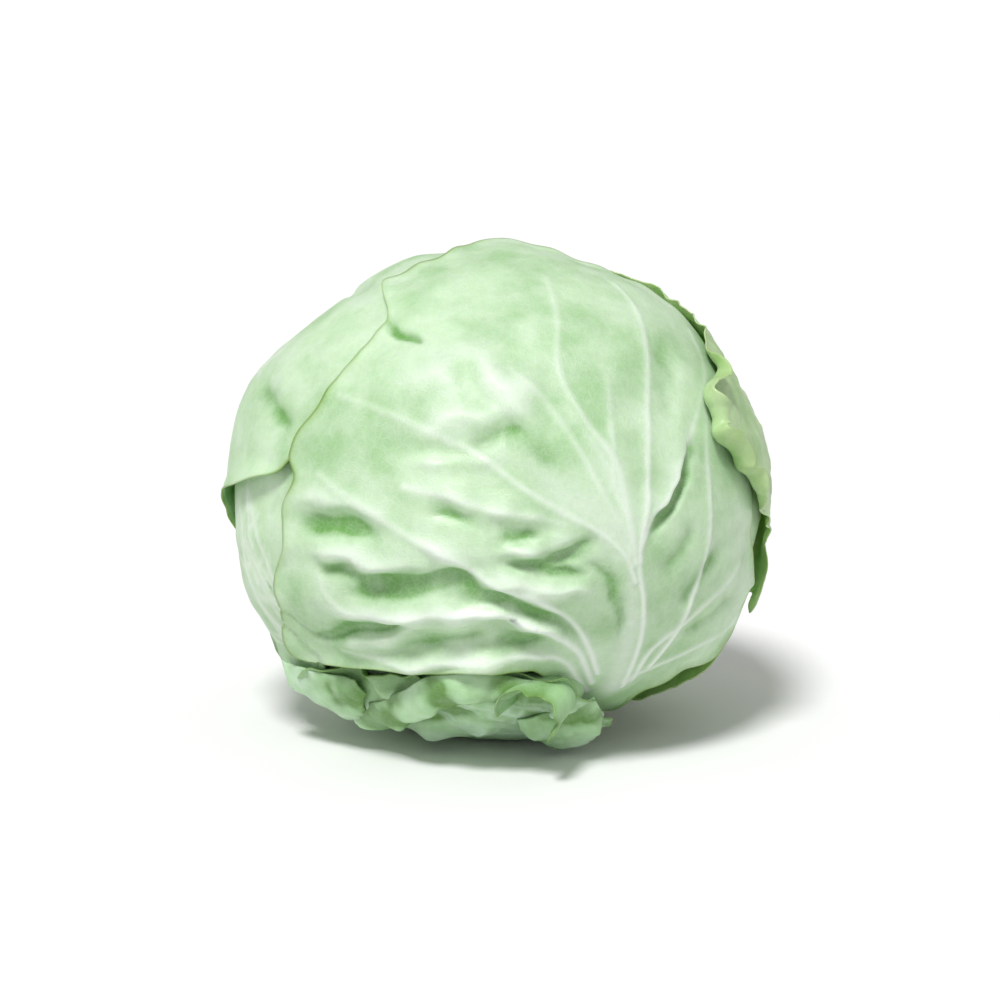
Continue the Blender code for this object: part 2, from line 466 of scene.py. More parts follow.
class Graph:
    """A node tree under construction."""

    def __init__(self, tree: bpy.types.NodeTree) -> None:
        """Takes the tree that nodes are added to."""
        self.tree = tree

    def node(self, kind: str, inputs: dict | None = None, **settings: object) -> bpy.types.Node:
        """Adds a node.

        Args:
            kind: the node's type.
            inputs: what goes into its sockets, by name or number: an output socket or a value.
            settings: its properties.

        Returns:
            The new node.
        """
        made = self.tree.nodes.new(kind)
        for name, value in settings.items():
            setattr(made, name, value)
        for key, value in (inputs or {}).items():
            socket = made.inputs[key]
            if isinstance(value, bpy.types.NodeSocket):
                self.tree.links.new(value, socket)
            else:
                socket.default_value = value
        return made

    def math(self, operation: str, first: object, second: object = 0.0, third: object = 0.0,
             clamp: bool = False) -> bpy.types.NodeSocket:
        """Adds a Math node.

        Args:
            operation: what the node works out.
            first: its first socket or number.
            second: its second.
            third: its third.
            clamp: keeps the result between 0 and 1.

        Returns:
            The node's output.
        """
        made = self.node(
            "ShaderNodeMath", {0: first, 1: second, 2: third},
            operation=operation, use_clamp=clamp,
        )
        return made.outputs[0]

    def mix(self, share: object, first: object, second: object,
            blend: str = "MIX") -> bpy.types.NodeSocket:
        """Adds a colour Mix node.

        Args:
            share: how much of the second colour.
            first: a socket or colour.
            second: a socket or colour.
            blend: how they are mixed.

        Returns:
            The mixed colour.
        """
        made = self.node(
            "ShaderNodeMix", {0: share, 6: first, 7: second}, data_type="RGBA", blend_type=blend,
        )
        return made.outputs[2]

    def spread(self, value: object, low: float, high: float, to_low: float = 0.0,
               to_high: float = 1.0) -> bpy.types.NodeSocket:
        """Adds a Map Range node that smooths between its limits.

        Args:
            value: what is read.
            low: where the result leaves to_low.
            high: where it reaches to_high.
            to_low: the result at low.
            to_high: the result at high.

        Returns:
            The node's output.
        """
        made = self.node(
            "ShaderNodeMapRange", {0: value, 1: low, 2: high, 3: to_low, 4: to_high},
            interpolation_type="SMOOTHSTEP",
        )
        return made.outputs[0]


def new_group(name: str, kind: str, inputs: dict[str, tuple], outputs: dict[str, Socket]) -> tuple:
    """Starts a node group with named sockets.

    Args:
        name: the group's name.
        kind: ShaderNodeTree or GeometryNodeTree.
        inputs: socket kind and default value, by name.
        outputs: socket kind, by name.

    Returns:
        The graph, its input node and its output node.
    """
    tree = bpy.data.node_groups.new(name, kind)
    for label, (socket, value) in inputs.items():
        made = tree.interface.new_socket(label, in_out="INPUT", socket_type=socket.value)
        if value is not None:
            made.default_value = value
    for label, socket in outputs.items():
        tree.interface.new_socket(label, in_out="OUTPUT", socket_type=socket.value)
    graph = Graph(tree)
    return graph, graph.node("NodeGroupInput"), graph.node("NodeGroupOutput")


def build_net_group() -> bpy.types.NodeTree:
    """The fine net of veins in a blade: cells of two sizes with pale walls.

    Returns:
        A shader group that reads a leaf's own map.
    """
    graph, given, out = new_group(
        "fine_net", "ShaderNodeTree",
        {"Cells": (Socket.NUMBER, 30.0), "Wall": (Socket.NUMBER, 0.07)},
        {"Net": Socket.NUMBER, "Height": Socket.NUMBER},
    )
    place = graph.node("ShaderNodeUVMap", uv_map="blade").outputs[0]
    bend = graph.node("ShaderNodeTexNoise", {"Vector": place, "Scale": 14.0, "Detail": 3.0})
    shifted = graph.node(
        "ShaderNodeVectorMath", {0: bend.outputs[1], 1: (0.5, 0.5, 0.5)}, operation="SUBTRACT",
    )
    bent = graph.node(
        "ShaderNodeVectorMath", {0: shifted.outputs[0], 1: (0.05, 0.05, 0.0), 2: place},
        operation="MULTIPLY_ADD",
    ).outputs[0]
    walls = []
    for factor, strength in ((1.0, 1.0), (2.7, 0.55)):
        scale = graph.math("MULTIPLY", given.outputs["Cells"], factor)
        cell = graph.node(
            "ShaderNodeTexVoronoi", {"Vector": bent, "Scale": scale}, feature="DISTANCE_TO_EDGE",
        )
        near = graph.math("DIVIDE", cell.outputs[0], given.outputs["Wall"])
        wall = graph.math("SUBTRACT", 1.0, near, clamp=True)
        soft = graph.math("MULTIPLY", graph.math("SMOOTH_MIN", wall, 1.0, 0.3), strength)
        walls.append(soft)
    net = graph.math("MAXIMUM", walls[0], walls[1], clamp=True)
    graph.tree.links.new(net, out.inputs["Net"])
    graph.tree.links.new(graph.math("SQRT", net), out.inputs["Height"])
    return graph.tree


def build_tone_group() -> bpy.types.NodeTree:
    """Broad cloudy changes of tone and fine specks, both from 0 to 1.

    Returns:
        A shader group that reads Object coordinates.
    """
    graph, given, out = new_group(
        "leaf_tone", "ShaderNodeTree",
        {"Cloud size": (Socket.NUMBER, 28.0), "Speck size": (Socket.NUMBER, 420.0)},
        {"Clouds": Socket.NUMBER, "Specks": Socket.NUMBER},
    )
    place = graph.node("ShaderNodeTexCoord").outputs["Object"]
    cloud = graph.node(
        "ShaderNodeTexNoise",
        {"Vector": place, "Scale": given.outputs["Cloud size"], "Detail": 4.0, "Roughness": 0.55},
    )
    speck = graph.node(
        "ShaderNodeTexNoise",
        {"Vector": place, "Scale": given.outputs["Speck size"], "Detail": 2.0},
    )
    graph.tree.links.new(graph.spread(cloud.outputs[0], 0.32, 0.68), out.inputs["Clouds"])
    graph.tree.links.new(graph.spread(speck.outputs[0], 0.3, 0.7), out.inputs["Specks"])
    return graph.tree


def place_group(graph: Graph, group: bpy.types.NodeTree, inputs: dict) -> bpy.types.Node:
    """Adds a shader group to a material's tree.

    Args:
        graph: the material's tree.
        group: the group to add.
        inputs: values by socket name.

    Returns:
        The new group node.
    """
    made = graph.node("ShaderNodeGroup", node_tree=group)
    for key, value in inputs.items():
        made.inputs[key].default_value = value
    return made


@dataclass
class Paints:
    """Makes the materials, each once, from shared shader groups."""

    net: bpy.types.NodeTree = field(default_factory=build_net_group)
    tone: bpy.types.NodeTree = field(default_factory=build_tone_group)
    made: dict[str, bpy.types.Material] = field(default_factory=dict)

    def leaf(self, finish: LeafFinish) -> bpy.types.Material:
        """The skin of a leaf: green blade, pale veins, thin margin, waxy bloom, painted fold shade
        and highlight.

        Args:
            finish: its colours and surface.

        Returns:
            The material.
        """
        if finish.name in self.made:
            return self.made[finish.name]
        material = bpy.data.materials.new(finish.name)
        material.use_nodes = True
        graph = Graph(material.node_tree)
        shader = material.node_tree.nodes["Principled BSDF"]
        net = place_group(graph, self.net, {"Cells": 60.0, "Wall": 0.10})
        tone = place_group(graph, self.tone, {"Cloud size": 30.0, "Speck size": 420.0})
        read = {
            name: graph.node("ShaderNodeAttribute", attribute_name=name).outputs["Fac"]
            for name in ("vein", "margin", "ridge", "rib")
        }
        mottle = place_group(graph, self.tone, {"Cloud size": 78.0, "Speck size": 160.0})
        cloud = graph.math("MULTIPLY", tone.outputs["Clouds"], 0.5)
        # Painted shade: low fold values (the troughs) mix the blade toward the deep colour, added
        # to the random cloudy tone
        hollow = graph.spread(read["ridge"], 0.56, 0.06, 0.0, 1.0)
        cloud_tone_and_trough_shade = graph.math("ADD", cloud, hollow, clamp=True)
        base = graph.mix(cloud_tone_and_trough_shade, (*finish.blade, 1), (*finish.deep_tone_and_shade, 1))
        pale_share = graph.math("MULTIPLY", mottle.outputs["Clouds"], 0.2)
        base = graph.mix(pale_share, base, (*finish.vein, 1))
        net_share = graph.math("MULTIPLY", net.outputs["Net"], finish.net)
        base = graph.mix(net_share, base, (*finish.vein, 1))
        # Painted highlight: high fold values (the crests) mix toward the pale vein colour
        base = graph.mix(graph.spread(read["ridge"], 0.55, 1.0, 0.0, 0.5), base,
                         (*finish.vein, 1))
        # Painted shade along the midrib: its raised base mixes toward the deep colour
        base = graph.mix(graph.math("MULTIPLY", read["rib"], 0.3), base, (*finish.deep_tone_and_shade, 1))
        base = graph.mix(graph.math("MULTIPLY", read["vein"], 0.9), base, (*finish.vein, 1))
        # Margin colour along the edge: the leaf's own olive edge, which in the pale finish also
        # carries painted shade for the shadow line along the margin
        patchy = graph.spread(tone.outputs["Clouds"], 0.0, 0.8, 0.55, 1.0)
        edge = graph.math("MULTIPLY", graph.math("MULTIPLY", read["margin"], patchy),
                          finish.margin_amount)
        base = graph.mix(edge, base, (*finish.margin, 1))
        speck = graph.spread(tone.outputs["Specks"], 0.0, 1.0, 0.985, 1.015)
        base = graph.mix(1.0, base, graph.node(
            "ShaderNodeCombineColor", {0: speck, 1: speck, 2: speck}).outputs[0], "MULTIPLY")
        graph.tree.links.new(base, shader.inputs["Base Color"])
        rough = graph.math("MULTIPLY_ADD", tone.outputs["Clouds"], 0.12, finish.roughness)
        graph.tree.links.new(rough, shader.inputs["Roughness"])
        height = graph.math("MULTIPLY_ADD", net.outputs["Height"], 0.6, graph.math(
            "MULTIPLY", tone.outputs["Specks"], 0.10))
        bump = graph.node("ShaderNodeBump", {
            "Strength": finish.bump, "Distance": 0.0006, "Height": height,
        })
        graph.tree.links.new(bump.outputs[0], shader.inputs["Normal"])
        shader.inputs["Specular IOR Level"].default_value = 0.45
        shader.inputs["Subsurface Weight"].default_value = 0.25
        shader.inputs["Subsurface Radius"].default_value = (0.6, 1.0, 0.35)
        shader.inputs["Subsurface Scale"].default_value = 0.004
        shader.inputs["Coat Weight"].default_value = 0.15
        shader.inputs["Coat Roughness"].default_value = 0.35
        self.made[finish.name] = material
        return material

    def stalk(self, finish: StalkFinish) -> bpy.types.Material:
        """The stalk: a fibrous skin and a cut face with pith, ring and drying rim.

        Args:
            finish: its colours.

        Returns:
            The material.
        """
        material = bpy.data.materials.new(finish.name)
        material.use_nodes = True
        graph = Graph(material.node_tree)
        shader = material.node_tree.nodes["Principled BSDF"]
        tone = place_group(graph, self.tone, {"Cloud size": 90.0, "Speck size": 900.0})
        cut = graph.node("ShaderNodeAttribute", attribute_name="cut").outputs["Fac"]
        across = graph.node("ShaderNodeAttribute", attribute_name="across").outputs["Fac"]
        jitter = graph.math("MULTIPLY_ADD", tone.outputs["Clouds"], 0.12, across)
        ring = graph.math("MULTIPLY", graph.spread(jitter, 0.62, 0.72),
                          graph.spread(jitter, 0.78, 0.9, 1.0, 0.0))
        face = graph.mix(ring, (*finish.pith, 1), (*finish.ring, 1))
        face = graph.mix(graph.spread(jitter, 0.92, 1.08), face, (*finish.dry, 1))
        face = graph.mix(graph.math("MULTIPLY", tone.outputs["Specks"], 0.3), face,
                         (*finish.ring, 1))
        skin = graph.mix(graph.math("MULTIPLY", tone.outputs["Clouds"], 0.6),
                         (*finish.skin, 1), (*finish.pith, 1))
        graph.tree.links.new(graph.mix(cut, skin, face), shader.inputs["Base Color"])
        rough = graph.math("MULTIPLY_ADD", tone.outputs["Specks"], 0.2, 0.5)
        graph.tree.links.new(rough, shader.inputs["Roughness"])
        bump = graph.node("ShaderNodeBump", {
            "Strength": 0.5, "Distance": 0.0008, "Height": tone.outputs["Specks"],
        })
        graph.tree.links.new(bump.outputs[0], shader.inputs["Normal"])
        return material


# ---------------------------------------------------------------- leaves


@dataclass(frozen=True)
class LeafPlan:
    """A wrapper leaf: its place, outline, veins, folds and margin.

    The outline holds (heading, reach) pairs in degrees round the middle of the blade. Heading 0
    points up the leaf to its tip, 90 to the right as seen from outside and 180 to the stalk.
    The margin also goes through the places in "through", given as (rise, bearing).
    """

    node: str
    slot: str
    rise: float
    bearing: float
    outline: tuple[Place, ...]
    finish: LeafFinish
    through: tuple[Place, ...] = ()
    cells: tuple[int, int] = (110, 110)
    veins: tuple[Vein, ...] = ()
    folds: tuple[Fold, ...] = ()
    rolls: tuple[Roll, ...] = ()
    lobes: tuple["Curl | Flap", ...] = ()
    laterals: int = 7
    seed: int = 1
    ragged: float = 0.7
    frill: float = 0.6 * MILLI
    frill_waves: tuple[int, int] = (14, 40)
    frill_start: float = 0.8
    slack: float = 0.0
    crinkle: float = 0.22 * MILLI
    lip_heading: float = 0.0
    lip_spread: float = 60.0
    lip_height: float = 0.0
    margin_width: float = 0.7  # degrees in which the margin's colour fades
    edge_lift: float = 0.6 * MILLI
    crowded: bool = False


@dataclass
class LeafStack:
    """All the leaves, from the inside out, and the way they press each other in."""

    head: Head
    plans: tuple[LeafPlan, ...]
    stalk_radius: float
    pitch: float = 2.4 * MILLI
    rib_height: float = 2.2 * MILLI
    rib_half_width: float = 7.0
    rib_length: float = 75.0
    rib_print: float = 1.5
    tuck_start: float = 3.0
    tuck_end: float = 24.0
    gather_start: float = 14.0
    gather_end: float = 76.0

    def axes(self, plan: LeafPlan) -> tuple[Array, Array, Array]:
        """The middle of a blade, the way to its tip and the way to its right.

        Args:
            plan: the leaf.

        Returns:
            Three unit vectors.
        """
        middle = self.head.direction(np.array(plan.rise), np.array(plan.bearing))
        tip = self.head.direction(np.array(plan.rise + 90), np.array(plan.bearing))
        return middle, tip, np.cross(tip, middle)

    def polar(self, plan: LeafPlan, directions: Array) -> tuple[Array, Array]:
        """Reach and heading of each direction round the middle of a blade.

        Args:
            plan: the leaf.
            directions: unit vectors from the middle of the head.

        Returns:
            The reaches and the headings, in degrees.
        """
        middle, tip, right = self.axes(plan)
        reach = np.degrees(np.arccos(np.clip(directions @ middle, -1, 1)))
        return reach, np.degrees(np.arctan2(directions @ right, directions @ tip))

    def base_rise(self, plan: LeafPlan) -> float:
        """The rise at which a leaf ends beside the stalk.

        Args:
            plan: the leaf.

        Returns:
            The rise in degrees.
        """
        over = len(self.plans) - self.plans.index(plan)
        along = self.head.centre[2] / math.cos(math.radians(self.head.lean)) - over * self.pitch
        return math.degrees(math.asin((self.stalk_radius + 1.6 * MILLI) / along))

    def margin_reach(self, plan: LeafPlan, heading: Array) -> Array:
        """How far a leaf's smooth outline reaches at each heading.

        Args:
            plan: the leaf.
            heading: the headings to read.

        Returns:
            The reaches in degrees.
        """
        corners = [*plan.outline, (180.0, plan.rise - self.base_rise(plan))]
        if plan.through:
            reach, turn = self.polar(plan, self.head.direction(*np.array(plan.through, float).T))
            corners += list(zip(turn.tolist(), reach.tolist()))
        knots, reaches = np.array(sorted(corners), float).T
        return closed_curve(knots, reaches, heading)

    def past_margin(self, plan: LeafPlan, directions: Array) -> Array:
        """Degrees from each direction to a leaf's margin, negative on the leaf itself.

        Args:
            plan: the leaf.
            directions: unit vectors from the middle of the head.

        Returns:
            The degrees past the margin.
        """
        reach, heading = self.polar(plan, directions)
        slope = self.margin_reach(plan, heading + 1) - self.margin_reach(plan, heading - 1)
        slope = slope / 2 / np.maximum(np.sin(np.radians(reach)), 0.3)
        return (reach - self.margin_reach(plan, heading)) / np.hypot(1, slope)

    def rib(self, plan: LeafPlan, directions: Array, widen: float = 1.0) -> Array:
        """How far a leaf's midrib stands out of its blade.

        Args:
            plan: the leaf.
            directions: where to read it.
            widen: 1 for the rib itself, more for its print through the leaves over it.

        Returns:
            The height in each direction.
        """
        reach, heading = self.polar(plan, directions)
        across = reach * np.sin(np.radians(heading))
        along = plan.rise + reach * np.cos(np.radians(heading))
        ridge = np.exp(-((across / (self.rib_half_width * widen)) ** 2))
        sunk = smoothstep(self.base_rise(plan), self.rib_length, along) + smoothstep(0, 20, -along)
        free = 1 - smoothstep(0.72, 0.92, -directions[..., 2])
        return self.rib_height * ridge * free * (1 - sunk)

    def outside(self, level: int, directions: Array) -> Array:
        """Distance from the middle of the head to the outside of a layer.

        Args:
            level: 0 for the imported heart, then 1 for the innermost wrapper leaf and so on.
            directions: unit vectors from the middle of the head.

        Returns:
            The distance in each direction, without the layer's own midrib and relief.
        """
        radius = self.head.radius(directions)
        gathered = 1 - smoothstep(self.gather_start, self.gather_end, self.head.rise_of(directions))
        for over in self.plans[level:]:
            past = self.past_margin(over, directions)
            covered = 1 - smoothstep(self.tuck_start, self.tuck_end, past)
            radius = radius - self.pitch * np.maximum(covered, gathered)
            radius = radius - over.slack * smoothstep(3, 12, -past)
        for under in self.plans[:max(level - 1, 0)]:
            radius = radius + self.rib(under, directions, self.rib_print)
        return radius

    def openness(self, level: int, directions: Array) -> Array:
        """1 where nothing lies over a layer, fading to 0 under the leaves over it.

        Args:
            level: the layer, 0 for the heart.
            directions: unit vectors from the middle of the head.

        Returns:
            The openness in each direction.
        """
        free = np.ones(len(directions))
        for over in self.plans[level:]:
            free = free * smoothstep(-1, 7, self.past_margin(over, directions))
        return free


def grow_veins(stack: LeafStack, plan: LeafPlan) -> tuple[Vein, ...]:
    """Draws a leaf's midrib, its side veins and the small veins between them by rule.

    Args:
        stack: the leaves, for the leaf's outline.
        plan: the leaf.

    Returns:
        The veins, from the widest to the finest.
    """
    dice = np.random.default_rng(plan.seed)
    middle, tip, right = stack.axes(plan)

    def compass(across: float, along: float) -> Place:
        """The rise and bearing of a place on the blade, in degrees from its middle.

        Args:
            across: degrees to the right of the middle.
            along: degrees towards the tip.

        Returns:
            The rise and the bearing.
        """
        reach, heading = math.radians(math.hypot(across, along)), math.atan2(across, along)
        way = middle * math.cos(reach) + math.sin(reach) * (
            tip * math.cos(heading) + right * math.sin(heading)
        )
        upright = stack.head.leaned(np.eye(3)).T @ way
        return (
            math.degrees(math.acos(-upright[2])),
            math.degrees(math.atan2(upright[0], -upright[1])),
        )

    base = -(plan.rise - stack.base_rise(plan))
    top = float(stack.margin_reach(plan, np.array([0.0]))[0]) * 0.92
    spine = [(3 * math.sin(i * 0.9 + plan.seed), base + (top - base) * i / 7) for i in range(8)]
    spine[0] = (0.0, base)
    veins = [Vein(
        tuple(compass(*place) for place in spine),
        half_width=5.2 * MILLI, end_half_width=0.7 * MILLI, height=0.4 * MILLI, shoulder=1.6,
    )]
    for number in range(plan.laterals):
        for hand in (-1, 1):
            step = 0.78 * (number + 0.25 * (hand + 1)) / plan.laterals
            start = base + (top - base) * (0.10 + step)
            opening = math.radians(dice.uniform(48, 60) - 22 * number / plan.laterals)
            heading = 90 if hand > 0 else -90
            edge = float(stack.margin_reach(plan, np.array([float(heading)]))[0])
            length = max(edge * dice.uniform(0.85, 1.05) * (1 - 0.35 * number / plan.laterals), 18)
            stem = []
            for part in np.linspace(0, 1, 6):
                bend = opening - math.radians(30) * part
                stem.append((
                    hand * length * part * math.sin(bend),
                    start + length * part * math.cos(bend),
                ))
            share = 1 - 0.6 * number / plan.laterals
            veins.append(Vein(
                tuple(compass(*place) for place in stem),
                half_width=1.5 * MILLI * share, end_half_width=0.4 * MILLI,
                height=0.8 * MILLI * share,
            ))
            for twig in range(3, 9):
                root = np.array(stem[0]) + (np.array(stem[-1]) - np.array(stem[0])) * twig / 9
                way = 1 if twig % 2 else -1
                turn = opening + way * math.radians(dice.uniform(40, 60))
                run = length * dice.uniform(0.16, 0.28)
                twigs = [
                    (root[0] + hand * run * p * math.sin(turn - way * 0.3 * p),
                     root[1] + run * p * math.cos(turn - way * 0.3 * p))
                    for p in (0.0, 0.5, 1.0)
                ]
                veins.append(Vein(
                    tuple(compass(*place) for place in twigs), steps=3,
                    half_width=0.6 * MILLI, end_half_width=0.25 * MILLI,
                    height=0.25 * MILLI, brightness=0.6,
                ))
    return tuple(veins)


def disc_of_square(a: Array, b: Array) -> tuple[Array, Array]:
    """Bends a square grid into a disc.

    Args:
        a: places across the square, from -1 to 1.
        b: places along it.

    Returns:
        The distance from the middle, 0 to 1, and the heading in degrees, 0 along b.
    """
    share = np.maximum(np.abs(a), np.abs(b))
    safe = np.where(share > 0, share, 1)
    beside = 90 - 45 * b / safe * np.sign(a)
    heading = np.where(
        np.abs(a) > np.abs(b),
        np.where(a > 0, beside, -90 - 45 * b / safe * np.sign(a)),
        np.where(b > 0, 45 * a / safe, 180 - 45 * a / safe),
    )
    return share, angle_between(np.where(share > 0, heading, 0), 0)


def build_blade_tree() -> bpy.types.NodeTree:
    """Geometry nodes that crinkle a sheet and give it its thickness, as one closed solid.

    Returns:
        The tree, with named inputs for its sizes.
    """
    graph, given, out = new_group(
        "leaf_blade", "GeometryNodeTree",
        {
            "Sheet": (Socket.GEOMETRY, None),
            "Thickness": (Socket.NUMBER, 0.9 * MILLI),
            "Margin thickness": (Socket.NUMBER, 0.45 * MILLI),
            "Crinkle height": (Socket.NUMBER, 0.35 * MILLI),
            "Crinkle size": (Socket.NUMBER, 9 * MILLI),
            "Seed": (Socket.WHOLE, 1),
            "Skin": (Socket.MATERIAL, None),
        },
        {"Leaf": Socket.GEOMETRY},
    )

    def named(name: str) -> bpy.types.NodeSocket:
        """Reads one of the sheet's own values.

        Args:
            name: the value's name.

        Returns:
            The socket that holds it.
        """
        return graph.node(
            "GeometryNodeInputNamedAttribute", {"Name": name}, data_type="FLOAT",
        ).outputs["Attribute"]

    place = graph.node("GeometryNodeInputPosition").outputs[0]
    seed = graph.math("MULTIPLY", given.outputs["Seed"], 7.31)
    noise = graph.node("ShaderNodeTexNoise", {
        "Vector": place, "W": seed,
        "Scale": graph.math("DIVIDE", 1.0, given.outputs["Crinkle size"]),
        "Detail": 2.0, "Roughness": 0.45,
    }, noise_dimensions="4D").outputs[0]
    centred = graph.math("SUBTRACT", noise, 0.5)
    blade = graph.math("SUBTRACT", 1.0, named("vein"), clamp=True)
    rise = graph.math("MULTIPLY", graph.math("MULTIPLY", centred, blade), graph.math(
        "MULTIPLY", given.outputs["Crinkle height"], 2.0))
    normal = graph.node("GeometryNodeInputNormal").outputs[0]
    shift = graph.node("ShaderNodeVectorMath", {0: normal, "Scale": rise}, operation="SCALE")
    crinkled = graph.node("GeometryNodeSetPosition", {
        "Geometry": given.outputs["Sheet"], "Offset": shift.outputs[0],
    }).outputs[0]
    wall = graph.node("ShaderNodeMapRange", {
        0: named("margin"), 1: 0.0, 2: 1.0,
        3: given.outputs["Thickness"], 4: given.outputs["Margin thickness"],
    }).outputs[0]
    inward = graph.node("ShaderNodeVectorMath", {
        0: normal, "Scale": graph.math("MULTIPLY", wall, -1.0),
    }, operation="SCALE").outputs[0]
    shell = graph.node("GeometryNodeExtrudeMesh", {
        "Mesh": crinkled, "Offset": inward, "Offset Scale": 1.0, "Individual": False,
    }, mode="FACES").outputs[0]
    turned = graph.node("GeometryNodeFlipFaces", {"Mesh": shell}).outputs[0]
    joined = graph.node("GeometryNodeJoinGeometry")
    graph.tree.links.new(crinkled, joined.inputs[0])
    graph.tree.links.new(turned, joined.inputs[0])
    merged = graph.node("GeometryNodeMergeByDistance", {
        "Geometry": joined.outputs[0], "Distance": 1e-6,
    }).outputs[0]
    smooth = graph.node("GeometryNodeSetShadeSmooth", {"Geometry": merged}).outputs[0]
    whole = graph.node("GeometryNodeRealizeInstances", {"Geometry": smooth}).outputs[0]
    skinned = graph.node("GeometryNodeSetMaterial", {
        "Geometry": whole, "Material": given.outputs["Skin"],
    }).outputs[0]
    graph.tree.links.new(skinned, out.inputs["Leaf"])
    return graph.tree


@dataclass(frozen=True)
class Patch:
    """An open grid of points with its own values and map."""

    points: Array
    cells: tuple[int, int]
    values: dict[str, Array]
    flat: Array

    def faces(self) -> Array:
        """The corners of each quad, across first and then along.

        Returns:
            Four point numbers for each quad.
        """
        across, along = self.cells
        corner = (np.arange(along)[:, None] * (across + 1) + np.arange(across)[None, :]).ravel()
        return np.stack([corner, corner + 1, corner + across + 2, corner + across + 1], axis=1)


def add_object(name: str, data: bpy.types.ID) -> bpy.types.Object:
    """Makes an object and links it to the scene.

    Args:
        name: the object's name.
        data: its mesh, lamp or camera.

    Returns:
        The linked object.
    """
    made = bpy.data.objects.new(name, data)
    bpy.context.scene.collection.objects.link(made)
    return made


def store_values(mesh: bpy.types.Mesh, label: str, numbers: Array) -> None:
    """Gives each point of a mesh a number that its material can read.

    Args:
        mesh: the mesh.
        label: the value's name.
        numbers: one number for each point.
    """
    layer = mesh.attributes.new(label, "FLOAT", "POINT")
    layer.data.foreach_set("value", numbers.astype(np.float32))


def sheet_object(name: str, patches: list[Patch]) -> bpy.types.Object:
    """Makes one open sheet of a few grids.

    Args:
        name: the object's name.
        patches: the grids.

    Returns:
        The linked object.
    """
    starts = np.cumsum([0] + [len(patch.points) for patch in patches])
    faces = np.concatenate([patch.faces() + start for patch, start in zip(patches, starts)])
    points = np.concatenate([patch.points for patch in patches])
    flat = np.concatenate([patch.flat for patch in patches])
    mesh = bpy.data.meshes.new(name)
    mesh.from_pydata(points.tolist(), [], faces.tolist())
    for label in patches[0].values:
        store_values(mesh, label, np.concatenate([patch.values[label] for patch in patches]))
    layer = mesh.uv_layers.new(name="blade")
    layer.data.foreach_set("uv", flat[faces.ravel()].astype(np.float32).ravel())
    return add_object(name, mesh)


def plain_values(margin: Array, ridge: Array) -> dict[str, Array]:
    """The colour values of a patch with no veins or folds of its own.

    Args:
        margin: 1 at the margin, fading inwards.
        ridge: 0 in hollows to 1 on crests, for painted shade in the hollows and painted highlight
            on the crests.

    Returns:
        The values by name.
    """
    return {
        "vein": np.zeros_like(margin), "rib": np.zeros_like(margin),
        "ridge": ridge, "margin": margin,
    }


@dataclass(frozen=True)
class Curl:
    """A lobe of a leaf that is curled like an ear.

    Its axis stands on the head at a place and leans from straight out towards the crown. Angles
    round the axis are 0 to the right and 90 towards the crown.
    """

    rise: float
    bearing: float
    axis_height: float
    slant: float
    start_angle: float
    end_angle: float
    start_radius: float
    end_radius: float
    back: float
    front: float
    seed: int
    waviness: float = 1.2 * MILLI
    turn: float = 0.0          # degrees that the axis turns to the left
    cells: tuple[int, int] = (70, 34)

    def patch(self, head: Head) -> Patch:
        """The curled sheet as a grid, with its outer face outwards.

        Args:
            head: the head that the lobe stands on.

        Returns:
            The grid.
        """
        across, along = self.cells
        v, u = np.meshgrid(np.linspace(0, 1, along + 1), np.linspace(0, 1, across + 1),
                           indexing="ij")
        u, v = u.ravel(), v.ravel()
        out = head.direction(np.array(self.rise), np.array(self.bearing))
        up = head.direction(np.array(self.rise + 90), np.array(self.bearing))
        slant = math.radians(self.slant)
        right = unit(np.cross(up, out))
        turn = math.radians(self.turn)
        facing = out * math.cos(turn) - right * math.sin(turn)
        axis = facing * math.cos(slant) + up * math.sin(slant)
        right = unit(np.cross(up, facing))
        crown = np.cross(axis, right)
        crown = crown * np.sign(crown @ up)
        foot = head.centre + out * (float(head.radius(out[None])[0]) + self.axis_height)
        angle = np.radians(self.start_angle + (self.end_angle - self.start_angle) * u)
        wave = head_wave(np.stack([u * 2, v, u * 0], axis=1), 60, self.seed)
        reach = self.start_radius + (self.end_radius - self.start_radius) * u
        reach = reach + self.waviness * wave * (0.4 + v)
        edge = self.front + self.waviness * 1.6 * heading_wave(u * 200, self.seed + 1, 3, 12)
        place = self.back + (edge - self.back) * v
        reach = reach * (1 + 0.12 * (v - 0.5))
        points = foot + place[:, None] * axis + reach[:, None] * (
            np.cos(angle)[:, None] * right + np.sin(angle)[:, None] * crown
        )
        points[:, 2] = np.maximum(points[:, 2], LOBE_FLOOR_GAP)
        margin = np.exp(-np.minimum((1 - v) * 12, (1 - u) * 16))
        # The wave also sets ridge, for painted shade and highlight on the lobe's undulations
        values = plain_values(margin, np.clip(0.5 + 0.35 * wave, 0, 1))
        return Patch(points, self.cells, values, np.stack([u * 0.4, v * 0.2], axis=1))


